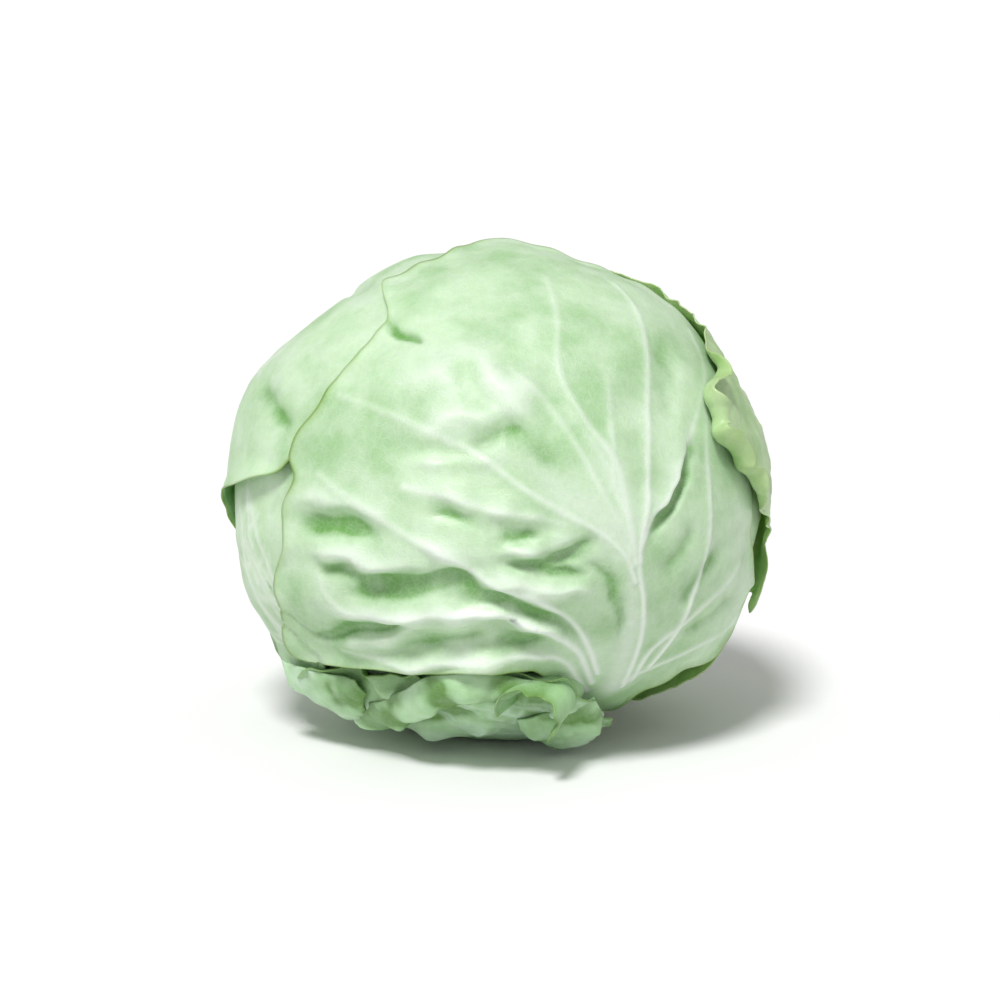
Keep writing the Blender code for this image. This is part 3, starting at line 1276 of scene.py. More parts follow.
@dataclass(frozen=True)
class Flap:
    """A lobe of a leaf that lies over its own blade, from a hidden line to a free one."""

    hidden: tuple[Place, ...]
    free: tuple[Place, ...]
    hidden_height: float
    middle_height: float
    free_height: float
    seed: int
    waviness: float = 1.0 * MILLI
    cells: tuple[int, int] = (80, 30)

    def patch(self, head: Head) -> Patch:
        """The lobe as a grid, with its outer face outwards.

        Args:
            head: the head that the lobe lies on.

        Returns:
            The grid.
        """
        across, along = self.cells
        rows = np.linspace(0, 1, across + 1)

        def along_line(places: tuple[Place, ...]) -> Array:
            """The line read at even steps.

            Args:
                places: the places it goes through.

            Returns:
                The points along it.
            """
            line = Line(places).directions(head)
            steps = np.linspace(0, 1, len(line))
            return np.stack([np.interp(rows, steps, line[:, i]) for i in range(3)], axis=1)

        start, end = along_line(self.hidden), along_line(self.free)
        v, u = np.meshgrid(np.linspace(0, 1, along + 1), rows, indexing="ij")
        u, v = u.ravel(), v.ravel()
        index = np.tile(np.arange(across + 1), along + 1)
        ragged = v + 0.05 * v * heading_wave(u * 300, self.seed, 3, 16)
        ways = unit(start[index] * (1 - ragged)[:, None] + end[index] * ragged[:, None])
        wave = head_wave(ways, 13, self.seed + 2) + 0.4 * head_wave(ways, 6, self.seed + 3)
        wave = wave + 0.15 * head_wave(ways, 2.6, self.seed + 4)
        height = (
            self.hidden_height * (1 - v) ** 2 + self.middle_height * 2 * v * (1 - v)
            + self.free_height * v * v + self.waviness * wave * (0.4 + 0.6 * v)
        )
        ends = smoothstep(0, 0.12, u) * smoothstep(0, 0.12, 1 - u)
        low = self.hidden_height * 0.5
        height = low + (height - low) * (0.35 + 0.65 * ends)
        points = head.centre + (head.radius(ways) + height)[:, None] * ways
        points[:, 2] = np.maximum(points[:, 2], LOBE_FLOOR_GAP)
        margin = np.exp(-(1 - v) * 14)
        # The wave also sets ridge, for painted shade and highlight on the lobe's undulations
        values = plain_values(margin, np.clip(0.45 + 0.4 * wave, 0, 1))
        return Patch(points, self.cells, values, np.stack([u * 0.6, v * 0.3], axis=1))


def settle(made: bpy.types.Object, tree: bpy.types.NodeTree, inputs: dict) -> bpy.types.Object:
    """Runs a geometry tree on an object and keeps the result as its plain mesh.

    Args:
        made: the object.
        tree: the geometry nodes.
        inputs: values by input name.

    Returns:
        The same object, with no modifier left.
    """
    modifier = made.modifiers.new(tree.name, "NODES")
    modifier.node_group = tree
    for item in tree.interface.items_tree:
        if item.item_type == "SOCKET" and item.in_out == "INPUT" and item.name in inputs:
            modifier[item.identifier] = inputs[item.name]
    made.update_tag()
    graph = bpy.context.evaluated_depsgraph_get()
    result = bpy.data.meshes.new_from_object(
        made.evaluated_get(graph), preserve_all_data_layers=True, depsgraph=graph,
    )
    made.modifiers.clear()
    old = made.data
    made.data = result
    bpy.data.meshes.remove(old)
    result.name = made.name
    return made


@dataclass
class WrapperLeaf:
    """Builds one leaf of the stack."""

    stack: LeafStack
    plan: LeafPlan
    thickness: float = 0.9 * MILLI
    broad_drift: float = 1.1 * MILLI
    fine_drift: float = 0.45 * MILLI
    deepest_dent: float = 2.2 * MILLI

    @property
    def level(self) -> int:
        """The leaf's place in the stack, 1 for the innermost."""
        return self.stack.plans.index(self.plan) + 1

    def ragged_reach(self, heading: Array) -> Array:
        """The leaf's real margin: its outline with small uneven bites and bulges.

        Args:
            heading: the headings to read.

        Returns:
            The reaches in degrees.
        """
        near_base = np.abs(angle_between(heading, 180))
        free = smoothstep(12, 30, near_base)
        wave = heading_wave(heading, self.plan.seed, 9, 34)
        fine = heading_wave(heading, self.plan.seed + 50, 34, 60)
        smooth = self.stack.margin_reach(self.plan, heading)
        return smooth + self.plan.ragged * free * (wave + 0.25 * fine)

    def directions(self, share: Array, heading: Array) -> Array:
        """The unit vectors from the middle of the head to places on the blade.

        Args:
            share: how far out each place is, 0 at the middle to 1 at the margin.
            heading: the way to it.

        Returns:
            A unit vector for each place.
        """
        middle, tip, right = self.stack.axes(self.plan)
        reach = np.radians(share * self.ragged_reach(heading))[:, None]
        turn = np.radians(heading)[:, None]
        return np.cos(reach) * middle + np.sin(reach) * (np.cos(turn) * tip + np.sin(turn) * right)

    def vein_relief(self, directions: Array) -> tuple[Array, Array]:
        """How far the veins stand out, and how pale they are, in each direction.

        Args:
            directions: unit vectors from the middle of the head.

        Returns:
            The heights, and the paleness from 0 to 1.
        """
        radius = float(self.stack.head.half_sizes.mean())
        raised = np.zeros(len(directions))
        pale = np.zeros(len(directions))
        grown = grow_veins(self.stack, self.plan) if self.plan.laterals else ()
        for vein in self.plan.veins + grown:
            line = vein.directions(self.stack.head)
            reach = 3 * vein.half_width * max(vein.shoulder, 1)
            near, away, place = nearest_on_line(line, directions, radius, reach)
            width = vein.half_width + (vein.end_half_width - vein.half_width) * place
            tall = vein.height * (width / vein.half_width)
            swell = np.exp(-((away / (width * vein.shoulder)) ** 2))
            crest = np.exp(-((away / np.maximum(width, 1.25 * MILLI)) ** 2))
            raised[near] = np.maximum(raised[near], tall * (0.65 * swell + 0.35 * crest))
            pale[near] = np.maximum(pale[near], vein.brightness * crest * (1 - 0.65 * place))
        return raised, pale

    def fold_relief(self, directions: Array) -> Array:
        """The height of the leaf's folds in each direction.

        Args:
            directions: unit vectors from the middle of the head.

        Returns:
            The heights, negative in valleys.
        """
        radius = float(self.stack.head.half_sizes.mean())
        total = np.zeros(len(directions))
        drift = self.broad_drift * head_wave(directions, 11, self.plan.seed + 30)
        drift = drift + self.fine_drift * head_wave(directions, 4.5, self.plan.seed + 31)
        swell = 1 + 0.32 * head_wave(directions, 9, self.plan.seed + 32)
        for fold in self.plan.folds:
            line = fold.directions(self.stack.head)
            reach = 3.5 * max(fold.left_width, fold.right_width)
            near, away, place = nearest_on_line(line, directions, radius, reach)
            ends = smoothstep(0, fold.fade, place) * smoothstep(0, fold.fade, 1 - place)
            ends = ends * swell[near]
            away = away + drift[near]
            gentle = np.exp(-(np.abs(away / fold.left_width) ** 1.3))
            steep = np.exp(-((away / fold.right_width) ** 2))
            if fold.height > 0 and fold.right_width < fold.left_width:
                steep -= 0.4 * np.exp(-((away / fold.right_width + 1.9) ** 2))
            total[near] += fold.height * ends * np.where(away > 0, gentle, steep)
        return total

    def surface(self, share: Array, heading: Array) -> tuple[Array, dict[str, Array]]:
        """The outer face of the blade before its margin is rolled.

        Args:
            share: how far out each place is, 0 at the middle of the blade to 1 at its margin.
            heading: the way to it.

        Returns:
            The points, and the values that colour them.
        """
        directions = self.directions(share, heading)
        free = self.stack.openness(self.level, directions)
        raised, pale = self.vein_relief(directions)
        folds = self.fold_relief(directions)
        rib = self.stack.rib(self.plan, directions)
        off = angle_between(heading, self.plan.lip_heading)
        lip = self.plan.lip_height * np.exp(-((off / self.plan.lip_spread) ** 2))
        wave = head_wave(directions, 26, self.plan.seed) * 0.5 * MILLI
        frill = self.plan.frill * heading_wave(heading, self.plan.seed + 9, *self.plan.frill_waves)
        dent = self.deepest_dent
        relief = raised + folds + wave
        relief = free * np.where(relief < 0, dent * np.tanh(relief / dent), relief) + rib
        relief = relief + lip * smoothstep(0.8, 1.0, share)
        relief = relief + frill * free * smoothstep(self.plan.frill_start, 1.0, share)
        relief = relief + self.plan.edge_lift * free * smoothstep(0.965, 1.0, share)
        radius = self.stack.outside(self.level, directions) + relief
        radius = np.minimum(radius, self.stack.head.floor_radius(directions) - BLADE_FLOOR_GAP)
        points = self.stack.head.centre + radius[:, None] * directions
        inside = (1 - share) * self.ragged_reach(heading)
        # ridge holds the fold height that the material turns into painted shade in troughs and
        # painted highlight on crests; rib holds the midrib height that it turns into painted shade
        values = {
            "vein": np.clip(pale, 0, 1),
            "rib": np.clip(rib / self.stack.rib_height, 0, 1),
            "ridge": np.clip(0.5 + free * folds / (6 * MILLI), 0, 1),
            "margin": np.exp(-inside / self.plan.margin_width),
        }
        return points, values

    def rolled(self, share: Array, heading: Array) -> tuple[Array, dict[str, Array]]:
        """The outer face with its margin turned outwards where the leaf has rolls.

        Args:
            share: how far out each place is, 0 at the middle to 1 at the margin.
            heading: the way to it.

        Returns:
            The points, and the values that colour them.
        """
        points, values = self.surface(share, heading)
        if not self.plan.rolls:
            return points, values
        bend = np.zeros(len(share))
        length = np.zeros(len(share))
        amount = np.zeros(len(share))
        for number, roll in enumerate(self.plan.rolls):
            off = angle_between(heading, roll.heading)
            weight = np.exp(-((off / roll.spread) ** 4))
            uneven = 1 + 0.35 * heading_wave(heading, self.plan.seed + 20 + number, 16, 44)
            bend = np.maximum(bend, weight * uneven / roll.radius)
            length = np.maximum(length, weight * roll.length)
            amount = np.maximum(amount, smoothstep(0.05, 0.5, weight))
        radius = float(self.stack.head.half_sizes.mean())
        leaf_length = np.radians(self.ragged_reach(heading)) * radius
        start = 1 - np.clip(length / leaf_length, 0.001, 0.6)
        turning = (share > start) & (amount > 0)
        if not turning.any():
            return points, values
        s0, h0 = start[turning], heading[turning]
        foot, _ = self.surface(s0, h0)
        behind, _ = self.surface(s0 - 0.01, h0)
        beside, _ = self.surface(s0, h0 + 0.5)
        onward = unit(foot - behind)
        outward = unit(np.cross(beside - foot, onward))
        flip = np.sign(((foot - self.stack.head.centre) * outward).sum(-1))[:, None]
        outward = outward * flip
        run = (share[turning] - s0) / (1 - s0) * length[turning]
        curve = np.maximum(bend[turning], 1.0)
        turned = foot + onward * (np.sin(curve * run) / curve)[:, None]
        turned = turned + outward * ((1 - np.cos(curve * run)) / curve)[:, None]
        blend = amount[turning][:, None]
        points[turning] = points[turning] * (1 - blend) + turned * blend
        points[:, 2] = np.maximum(points[:, 2], ROLL_FLOOR_GAP)
        return points, values

    def spacing(self, cells: int, crowd: float) -> Array:
        """Places from -1 to 1 for the grid's lines, closer together round one of them.

        Args:
            cells: how many gaps.
            crowd: where the lines are closest.

        Returns:
            The places, rising.
        """
        if not self.plan.crowded:
            return np.linspace(-1, 1, cells + 1)
        fine = np.linspace(-1, 1, 2001)
        weight = np.cumsum(1 + 0.9 * np.exp(-(((fine - crowd) / 0.42) ** 2)))
        weight = (weight - weight[0]) / (weight[-1] - weight[0])
        return np.interp(np.linspace(0, 1, cells + 1), weight, fine)

    def build(self, tree: bpy.types.NodeTree, paints: Paints) -> bpy.types.Object:
        """Makes the leaf, dresses it and ties it to the frame.

        Args:
            tree: the geometry nodes that finish a blade.
            paints: the materials.

        Returns:
            The finished piece.
        """
        across, along = self.plan.cells
        b, a = np.meshgrid(self.spacing(along, -0.3), self.spacing(across, -0.1), indexing="ij")
        share, heading = disc_of_square(a.ravel(), b.ravel())
        points, values = self.rolled(share, heading)
        reach = share * self.ragged_reach(heading) / 100
        turn = np.radians(heading)
        flat = np.stack([reach * np.sin(turn), reach * np.cos(turn)], axis=1)
        patches = [Patch(points, self.plan.cells, values, flat)]
        patches += [lobe.patch(self.stack.head) for lobe in self.plan.lobes]
        made = sheet_object(self.plan.node + "_skin", patches)
        skin = paints.leaf(self.plan.finish)
        settle(made, tree, {
            "Thickness": self.thickness, "Crinkle height": self.plan.crinkle,
            "Crinkle size": 9 * MILLI, "Seed": self.plan.seed, "Skin": skin,
        })
        if not made.data.materials:
            made.data.materials.append(skin)
        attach(made, BODY)
        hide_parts(self.plan.node)
        LOG.info("%s: %d faces", made.name, len(made.data.polygons))
        return made


@dataclass
class PackedHeart:
    """The tight ball of inner leaves."""

    stack: LeafStack
    finish: LeafFinish
    across: int = 220
    along: int = 130

    def build(self, paints: Paints) -> bpy.types.Object:
        """Makes the ball, dresses it and ties it to the frame.

        Args:
            paints: the materials.

        Returns:
            The finished piece.
        """
        turn, rise = np.meshgrid(np.linspace(-180, 180, self.across, endpoint=False),
                                 np.linspace(0, 180, self.along + 1)[1:-1])
        head = self.stack.head
        directions = head.direction(rise.ravel(), turn.ravel())
        directions = np.concatenate([
            directions, head.direction(np.array([0.0, 180.0]), np.array([0.0, 0.0])),
        ])
        radius = self.stack.outside(0, directions) + head_wave(directions, 30, 5) * 0.5 * MILLI
        points = head.centre + radius[:, None] * directions
        rings = self.along - 1
        corner = np.arange(rings * self.across).reshape(rings, self.across)
        following = np.roll(corner, -1, axis=1)
        faces = [
            tuple(quad) for quad in np.stack(
                [corner[:-1], following[:-1], following[1:], corner[1:]], axis=-1,
            ).reshape(-1, 4).tolist()
        ]
        bottom, top = len(points) - 2, len(points) - 1
        faces += [(bottom, f, c) for c, f in zip(corner[0].tolist(), following[0].tolist())]
        faces += [(top, c, f) for c, f in zip(corner[-1].tolist(), following[-1].tolist())]
        mesh = bpy.data.meshes.new("packed_head_skin")
        mesh.from_pydata(points.tolist(), [], faces)
        for label, number in (("vein", 0.0), ("rib", 0.0), ("ridge", 0.5), ("margin", 0.0)):
            store_values(mesh, label, np.full(len(points), number))
        flat = np.stack([directions[:, 0], directions[:, 2]], axis=1)
        layer = mesh.uv_layers.new(name="blade")
        index = np.zeros(len(mesh.loops), np.int32)
        mesh.loops.foreach_get("vertex_index", index)
        layer.data.foreach_set("uv", flat[index].astype(np.float32).ravel())
        mesh.shade_smooth()
        mesh.materials.append(paints.leaf(self.finish))
        made = add_object("packed_head_skin", mesh)
        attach(made, BODY)
        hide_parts("packed_head")
        LOG.info("%s: %d faces", made.name, len(mesh.polygons))
        return made


@dataclass
class Stalk:
    """The short cut stalk, with the scars of leaves that were stripped off it."""

    head: Head
    low: Array
    high: Array
    sides: int = 96
    rings: int = 40
    scars: int = 5

    def build(self, paints: Paints) -> bpy.types.Object:
        """Makes the stalk, dresses it and ties it to the frame.

        Args:
            paints: the materials.

        Returns:
            The finished piece.
        """
        axis = self.head.direction(np.array(0.0), np.array(0.0))
        side = self.head.leaned(np.array([0.0, 1.0, 0.0]))
        over = np.cross(axis, side)
        middle = (self.low + self.high) / 2
        lean = math.radians(self.head.lean)
        radius = (self.high[1] - self.low[1]) / 2
        length = ((self.high[2] - self.low[2]) - 2 * radius * math.sin(lean)) / math.cos(lean)
        centre = middle.copy()
        rows, cut, across = [], [], []
        profile = [(-0.5, 0.55)] + [(s, 1.0) for s in np.linspace(-0.5, 0.44, self.rings)]
        profile += [(0.48, 0.985), (0.5, 0.95)]
        profile += [(0.5 - 0.03 * (1 - (r / 0.9) ** 2), r) for r in (0.9, 0.8, 0.65, 0.5, 0.3, 0.1)]
        turn = np.linspace(0, 2 * math.pi, self.sides, endpoint=False)
        for number, (place, width) in enumerate(profile):
            wobble = 1 + 0.012 * np.sin(3 * turn + 1) + 0.008 * np.sin(7 * turn + place * 5)
            on_side = -0.49 < place < 0.47 and width > 0.98
            scar = np.zeros_like(turn)
            if on_side:
                for mark in range(self.scars):
                    bearing = mark * math.radians(137.5)
                    height = -0.35 + 0.7 * mark / max(self.scars - 1, 1)
                    away = (turn - bearing + math.pi) % (2 * math.pi) - math.pi
                    bump = np.exp(-((away / 0.55) ** 2)) * np.exp(-(((place - height) / 0.06) ** 2))
                    scar += 0.03 * bump
            reach = radius * width * 0.955 * np.minimum(wobble + scar, 1.045)
            rows.append(
                centre + axis * place * length
                + reach[:, None] * (np.cos(turn)[:, None] * side + np.sin(turn)[:, None] * over)
            )
            on_cut = 1.0 if number >= len(profile) - 7 else 0.0
            cut.append(np.full(self.sides, on_cut))
            across.append(np.full(self.sides, width))
        points = np.concatenate(rows + [[centre - axis * 0.5 * length],
                                        [centre + axis * 0.47 * length]])
        count = len(profile)
        corner = np.arange(count * self.sides).reshape(count, self.sides)
        following = np.roll(corner, -1, axis=1)
        quads = np.stack([corner[:-1], corner[1:], following[1:], following[:-1]], axis=-1)
        faces = [tuple(quad) for quad in quads.reshape(-1, 4).tolist()]
        first, last = len(points) - 2, len(points) - 1
        faces += [(first, c, f) for c, f in zip(corner[0].tolist(), following[0].tolist())]
        faces += [(last, f, c) for c, f in zip(corner[-1].tolist(), following[-1].tolist())]
        mesh = bpy.data.meshes.new("stalk_skin")
        mesh.from_pydata(points.tolist(), [], faces)
        for label, numbers in (("cut", cut + [[0.0], [1.0]]), ("across", across + [[0.0], [0.0]])):
            store_values(mesh, label, np.concatenate(numbers))
        mesh.shade_smooth()
        mesh.materials.append(paints.stalk(StalkFinish()))
        made = add_object("stalk_skin", mesh)
        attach(made, BODY)
        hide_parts("stalk")
        LOG.info("%s: %d faces", made.name, len(mesh.polygons))
        return made


# ---------------------------------------------------------------- this head's leaves

LUMPS = (
    Lump(120, 4, 22, 2.0 * MILLI), Lump(95, 91, 9, -3.0 * MILLI), Lump(139, 101, 14, -2.5 * MILLI),
    Lump(155, -101, 14, -3.0 * MILLI), Lump(130, -90, 10, 2.0 * MILLI),
    Lump(72, -78, 20, 6.0 * MILLI), Lump(33, 66, 20, 8.0 * MILLI),
)

ROUND = (
    (-165, 66), (-140, 60), (-95, 60), (-45, 62), (0, 64), (45, 62), (95, 60), (140, 60), (165, 66),
)

FRONT_VEINS = (
    Vein(((80, 25), (88, 22), (97, 16), (106, 9), (115, 1)), half_width=6.5 * MILLI,
         end_half_width=5.0 * MILLI, height=0.3 * MILLI, shoulder=1.0, brightness=0.5),
    Vein(((40, 17), (56, 21), (70, 24), (78, 26), (86, 27), (98, 27), (112, 25)),
         half_width=4.8 * MILLI, end_half_width=1.0 * MILLI, height=0.5 * MILLI, shoulder=1.4,
         brightness=0.55),
    Vein(((42, 20), (56, 24), (66, 26), (77, 27), (88, 33), (97, 38), (106, 45), (115, 54),
          (124, 64), (132, 72)), half_width=1.4 * MILLI, height=1.1 * MILLI),
    Vein(((76, 26), (86, 27), (97, 29), (108, 27), (120, 28), (132, 39), (143, 53)),
         half_width=2.2 * MILLI, height=1.0 * MILLI, brightness=0.7),
    Vein(((86, 27), (94, 27), (104, 32), (114, 38)), half_width=1.1 * MILLI, height=0.6 * MILLI,
         brightness=0.6),
    Vein(((78, 25), (82, 26), (90, 24), (101, 23), (114, 21), (124, 17)), half_width=1.8 * MILLI,
         height=0.9 * MILLI, brightness=0.6),
    Vein(((72, 25), (79, 24), (86, 20), (93, 14), (101, 8), (110, 2), (116, -5), (123, -14),
          (131, -30)), half_width=1.1 * MILLI, height=0.9 * MILLI, brightness=0.8),
    Vein(((49, 12), (60, 11), (68, 9), (76, 4), (82, -3), (90, -9), (96, -15), (103, -22),
          (110, -30), (115, -36)), half_width=1.2 * MILLI, height=1.2 * MILLI, shoulder=2.2,
         brightness=1.0),
    Vein(((45, 10), (54, 9), (60, 8), (67, 4), (74, -2), (78, -9), (81, -19), (84, -33),
          (86, -38), (90, -41), (95, -42)), half_width=1.3 * MILLI, height=1.0 * MILLI,
         shoulder=2.4),
    Vein(((42, 8), (50, 6), (58, 4), (64, -3), (68, -16), (70, -28), (73, -37), (76, -47)),
         half_width=1.1 * MILLI, height=0.7 * MILLI, brightness=0.9),
    Vein(((108, -15), (103, -6), (98, 1), (94, 8), (90, 14)), half_width=1.3 * MILLI,
         height=0.7 * MILLI, brightness=0.7),
    Vein(((46, 28), (57, 37), (64, 42), (71, 46), (81, 50), (90, 54), (97, 60)),
         half_width=1.4 * MILLI, height=1.2 * MILLI),
    Vein(((42, 23), (52, 28), (57, 42), (60, 54), (62, 60)), half_width=1.2 * MILLI,
         height=0.9 * MILLI),
    Vein(((40, 20), (44, 24), (45, 39), (46, 52), (46, 74)), half_width=1.2 * MILLI,
         height=0.8 * MILLI),
    Vein(((76, 27), (79, 28), (83, 32), (86, 38), (89, 43), (94, 50), (99, 59), (104, 70),
          (112, 80)), half_width=1.3 * MILLI, height=1.0 * MILLI, brightness=0.9),
)

FRONT_FOLDS = (
    crest((110, -47), (110, -39), (108, -30), (104, -22), (101, -18), height=2.0, above=5,
          below=3.5),
    trough((105, -47), (105, -37), (103, -30), (100, -21), depth=2.2, above=4.0, below=4.0),
    crest((102, -46), (100, -39), (97, -32), (94, -26), (92, -19), (91, -13), (91, -7),
          height=3.0, above=5.5, below=3.2),
    trough((95, -44), (95, -35), (92, -29), depth=1.4),
    trough((90, -38), (90, -28), (90, -18), (88, -9), (86, -1), depth=3.6, above=2.8, below=6),
    trough((85, -22), (82, -8), (78, 0), (73, 5), (65, 9), (56, 10), depth=3.2, above=3, below=6),
    crest((99, -19), (93, -12), (86, -6), (79, 0), (72, 7), (61, 11), height=2.6, above=8,
          below=2.4),
    crest((91, -50), (86, -38), (82, -26), (79, -11), (74, -2), (66, 5), (54, 9), height=3.4,
          above=4.5, below=3.6),
    trough((81, -56), (81, -43), (81, -33), (80, -24), depth=4.2, above=1.9, below=2.2),
    crest((78, -51), (78, -43), (78, -32), (78, -21), (76, -12), (71, -5), height=2.4, above=2.8,
          below=4),
    trough((75, -37), (74, -25), (72, -14), (69, -8), depth=1.8),
    trough((71, -10), (69, -7), (67, -3), (65, 2), depth=2.2, above=1.8, below=2.2),
    crest((76, -51), (73, -37), (70, -25), (67, -14), (63, -3), (57, 3), (45, 6), height=2.2,
          above=5, below=4),
    crest((108, -15), (103, -6), (98, 1), (94, 8), (93, 14), height=1.7, above=6, below=3),
    trough((101, -13), (100, -5), (97, 1), depth=1.6),
    crest((90, -3), (88, 2), (86, 7), (86, 12), (86, 18), height=2.2, above=4, below=2.0),
    trough((87, 5), (85, 10), (84, 15), (84, 21), depth=2.2, above=1.8, below=2.6),
    trough((93, 0), (91, 4), (89, 9), depth=1.6, above=2.5, below=2.5),
    trough((88, -3), (84, 4), (81, 10), (77, 16), depth=2.6, above=1.9, below=3),
    crest((86, -6), (83, -1), (78, 6), (76, 12), (72, 17), height=1.7, above=3, below=3),
    trough((82, 15), (78, 18), (73, 20), (64, 20), (54, 17), depth=1.8, above=2, below=2.2),
    crest((126, -16), (129, -4), (130, 8), (124, 14), (118, 19), (113, 25), height=2.0, above=9,
          below=9),
    crest((123, -18), (119, -8), (117, 4), (114, 14), (110, 20), height=2.4, above=8, below=8),
    trough((113, -1), (112, 5), (112, 10), (110, 17), depth=2.2, above=2.4, below=4),
    trough((122, -22), (117, -12), (112, -3), (109, 3), depth=1.1, above=4, below=5),
    crest((112, -16), (110, -6), (108, 2), (105, 7), height=1.4, above=3, below=3),
    trough((151, -18), (145, -10), (140, -5), (137, -3), depth=2.6, above=1.4, below=2.0),
    crest((77, 26), (83, 32), (86, 38), (89, 43), (94, 50), (99, 59), (104, 68), (110, 78),
          height=1.9, above=8, below=1.8),
    trough((79, 30), (82, 34), (85, 40), (88, 45), (92, 50), (96, 56), (99, 62), (104, 70),
           (109, 78), depth=7.0, above=1.7, below=1.9),
    trough((70, 30), (74, 38), (79, 44), depth=1.2, above=4, below=4),
    trough((60, 33), (66, 44), (70, 54), depth=1.4, above=4, below=4),
    trough((52, 36), (54, 48), (56, 60), depth=1.2, above=3, below=3),
    trough((96, 42), (106, 52), (118, 66), depth=1.3, above=5, below=5),
    trough((98, 18), (108, 14), (118, 12), depth=1.0, above=5, below=5),
)

BOTTOM_FOLDS = (
    trough((73, -60), (70, -50), (68, -40), (66, -28), depth=5.0, above=5, below=6),
    crest((62, -62), (59, -50), (58, -38), (59, -26), (56, -14), height=3.5, above=4, below=4),
    trough((54, -58), (52, -46), (52, -34), (51, -22), depth=4.0, above=2.5, below=4),
    crest((48, -62), (45, -50), (42, -36), (42, -22), height=3.0, above=4, below=5),
    trough((70, -70), (64, -64), (58, -62), depth=4.0, above=3, below=3),
    crest((74, -78), (66, -74), (58, -70), height=2.0, above=3, below=3),
    trough((58, -17), (53, -12), (46, -9), (42, -4), depth=5.0, above=6, below=6),
)

PLANS = (
    LeafPlan("inner_front_leaf", "inner_leaf", 84, -4, ROUND, MID, seed=11),
    LeafPlan("back_leaf", "inner_leaf", 86, 172, ROUND, MID, seed=12, cells=(150, 150)),
    LeafPlan("lower_right_leaf", "inner_leaf", 74, 80, (
        (-165, 58), (-130, 52), (-80, 48), (-30, 52), (20, 54), (80, 52), (130, 52), (165, 58),
    ), MID, seed=13),
    LeafPlan("lower_left_leaf", "wrapper_leaf", 78, -60, (
        (-165, 60), (-125, 56), (-80, 52), (-30, 58), (25, 60), (80, 54), (130, 54), (165, 60),
    ), PALE, seed=14, cells=(160, 160)),
    LeafPlan("top_leaf", "wrapper_leaf", 106, -138, (
        (-157, 72), (-120, 54), (-79, 58), (-40, 70), (-12, 86), (5, 91), (22, 97), (38, 100),
        (52, 95), (60, 86), (75, 54), (86, 44), (99, 42), (130, 50), (157, 70),
    ), PALE, through=((120, -44), (117, -51), (116, -60), (114, -69)), seed=15, cells=(180, 200),
        lip_heading=68, lip_spread=16, lip_height=2 * MILLI,
        folds=(trough((136, -77), (131, -57), (123, -46), depth=2.0, above=3, below=5),)),
    LeafPlan("front_leaf", "wrapper_leaf", 88, 20, (), PALE, through=(
        (162, 110), (169, 33), (167, -25), (152, -16), (146, -18), (139, -28), (132, -34),
        (124, -43), (120, -45), (115, -43), (109, -48), (102, -50), (95, -56), (86, -59),
        (77, -65), (73, -51), (71, -39), (68, -26), (65, -13), (58, -3), (50, 1), (40, 3),
        (27, 10), (30, 28), (38, 44), (40, 63), (49, 74), (62, 68), (72, 68), (80, 69), (86, 68),
        (92, 66), (99, 70), (104, 80), (112, 90), (130, 96), (148, 104),
    ), seed=16, cells=(220, 220), veins=FRONT_VEINS, folds=FRONT_FOLDS, laterals=0,
        slack=2 * MILLI, lip_heading=-126, lip_spread=22, lip_height=5.5 * MILLI,
        edge_lift=1.0 * MILLI, crowded=True),
    LeafPlan("left_leaf", "outer_leaf", 74, -128, (
        (-165, 58), (-130, 52), (-80, 44), (-30, 42), (20, 33), (55, 21), (95, 19), (135, 30),
        (165, 56),
    ), MID, seed=17, cells=(150, 150)),
    LeafPlan("right_leaf", "outer_leaf", 85, 116, (
        (-165, 62), (-145, 52), (0, 42), (40, 50), (80, 54), (120, 54), (145, 56), (165, 62),
    ), RIM, through=(
        (47, 92), (60, 86), (68, 74), (74, 64), (80, 58), (86, 54), (92, 51), (99, 54), (104, 66),
        (108, 80), (112, 92), (116, 100),
    ), seed=18, cells=(200, 200), margin_width=6.0, crinkle=1.8 * MILLI,
        rolls=(Roll(-86, 24, 12 * MILLI, 4.0 * MILLI),), frill=1.4 * MILLI),
    LeafPlan("bottom_leaf", "outer_leaf", 36, -48, (
        (-160, 30), (-125, 40), (-80, 44), (-50, 44), (160, 24),
    ), DEEP, through=(
        (58, -88), (66, -78), (72, -68), (73, -60), (71, -52), (68, -40), (64, -29), (60, -12),
        (56, 0), (48, 6), (38, 10), (26, 14),
    ), seed=19, cells=(180, 180), frill=2.2 * MILLI, frill_waves=(9, 22), frill_start=0.55,
        ragged=0.9, folds=BOTTOM_FOLDS, laterals=4, crinkle=1.0 * MILLI, slack=2 * MILLI,
        lobes=(
            Curl(53, -7, 9.5 * MILLI, 34, 176, -62, 10.5 * MILLI, 8.5 * MILLI, -24 * MILLI,
                 5 * MILLI, seed=3, waviness=1.0 * MILLI, turn=20),
            Flap(((62, -64), (61, -50), (63, -38), (66, -28), (64, -16), (57, -5)),
                 ((58, -65), (52, -54), (56, -38), (58, -26), (57, -18), (56, -8)),
                 0.5 * MILLI, 8 * MILLI, 4.5 * MILLI, seed=4, waviness=1.6 * MILLI),
            Flap(((82, -86), (79, -77), (76, -68), (73, -58)),
                 ((70, -90), (63, -79), (60, -70), (66, -60)),
                 -5.5 * MILLI, 0.5 * MILLI, 1.5 * MILLI, seed=6, waviness=0.9 * MILLI),
            Flap(((75, -72), (73, -62), (68, -50)),
                 ((70, -73), (60, -66), (58, -58), (64, -50)),
                 -1.0 * MILLI, 5 * MILLI, 3 * MILLI, seed=12, waviness=1.8 * MILLI),
            Flap(((44, -16), (43, -8), (43, 0), (44, 9)),
                 ((38, -18), (27, -10), (26, 0), (36, 11)),
                 0.5 * MILLI, 6 * MILLI, 4 * MILLI, seed=14, waviness=2.0 * MILLI),
        )),
)


# ---------------------------------------------------------------- studio


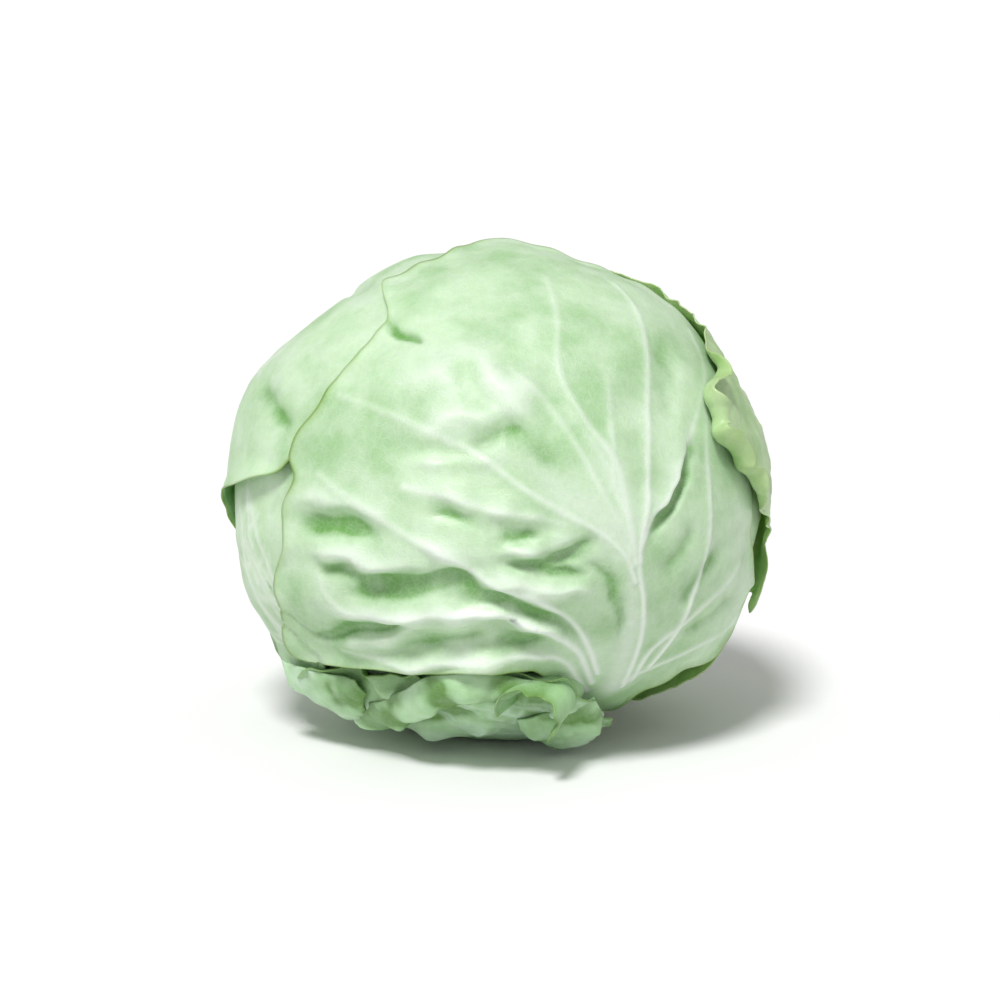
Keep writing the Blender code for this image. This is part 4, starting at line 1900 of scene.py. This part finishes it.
@dataclass
class Studio:
    """A plain white table and backdrop, soft light and the camera."""

    target: Array
    distance: float = 1.25
    elevation: float = 12.0
    view_width: float = 0.364

    def floor(self) -> bpy.types.Object:
        """Makes the pale floor, wide enough to fill the view.

        Returns:
            The floor.
        """
        half = 9.0
        mesh = bpy.data.meshes.new("floor")
        mesh.from_pydata(
            [(-half, -half, 0), (half, -half, 0), (half, half, 0), (-half, half, 0)], [],
            [(0, 1, 2, 3)],
        )
        material = bpy.data.materials.new("pale_floor")
        material.use_nodes = True
        shader = material.node_tree.nodes["Principled BSDF"]
        shader.inputs["Base Color"].default_value = (0.80, 0.80, 0.80, 1)
        shader.inputs["Roughness"].default_value = 0.95
        shader.inputs["Specular IOR Level"].default_value = 0.05
        mesh.materials.append(material)
        made = add_object("floor", mesh)
        made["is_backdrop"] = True
        return made

    def sun(self, name: str, way: tuple, softness: float, power: float) -> bpy.types.Object:
        """Adds a distant soft light that comes from one way.

        Args:
            name: the lamp's name.
            way: where the light comes from.
            softness: how wide the lamp looks, in degrees.
            power: its strength.

        Returns:
            The lamp.
        """
        light = bpy.data.lights.new(name, "SUN")
        light.angle = math.radians(softness)
        light.energy = power
        made = add_object(name, light)
        flat = math.hypot(way[0], way[1])
        made.rotation_euler = (math.atan2(flat, way[2]), 0, math.atan2(way[0], -way[1]))
        return made

    def camera(self) -> bpy.types.Object:
        """Sets up the camera in front of the head.

        Returns:
            The camera.
        """
        lens = bpy.data.cameras.new("camera")
        lens.lens = lens.sensor_width * self.distance / self.view_width
        lens.clip_start = 0.01
        made = add_object("camera", lens)
        angle = math.radians(self.elevation)
        back = np.array([0, -math.cos(angle), math.sin(angle)])
        made.location = self.target + back * self.distance
        made.rotation_euler = (math.pi / 2 - angle, 0, 0)
        bpy.context.scene.camera = made
        return made

    def build(self) -> None:
        """Sets up floor, lights, surroundings and camera."""
        self.floor()
        self.sun("key", (-0.16, -0.50, 0.84), 14, 3.0)
        world = bpy.data.worlds.new("white_room")
        world.use_nodes = True
        world.node_tree.nodes["Background"].inputs[0].default_value = (1, 1, 1, 1)
        world.node_tree.nodes["Background"].inputs[1].default_value = 0.5
        scene = bpy.context.scene
        scene.world = world
        scene.view_settings.view_transform = "Standard"
        self.camera()


def main() -> None:
    """Builds every piece round the frame, and the studio."""
    logging.basicConfig(level=logging.INFO, format="%(name)s: %(message)s")
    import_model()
    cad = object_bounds()
    head = Head(low=np.array(cad[0]), high=np.array(cad[1]), lumps=LUMPS)
    stalk_low, stalk_high = (np.array(corner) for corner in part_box("stalk"))
    stack = LeafStack(head, PLANS, stalk_radius=(stalk_high[1] - stalk_low[1]) / 2)
    paints = Paints()
    tree = build_blade_tree()
    PackedHeart(stack, PALE).build(paints)
    Stalk(head, stalk_low, stalk_high).build(paints)
    for plan in PLANS:
        WrapperLeaf(stack, plan).build(tree, paints)
    Studio(target=head.centre + np.array([0, 0, -AIM_BELOW_CENTRE])).build()


if __name__ == "__main__":
    main()
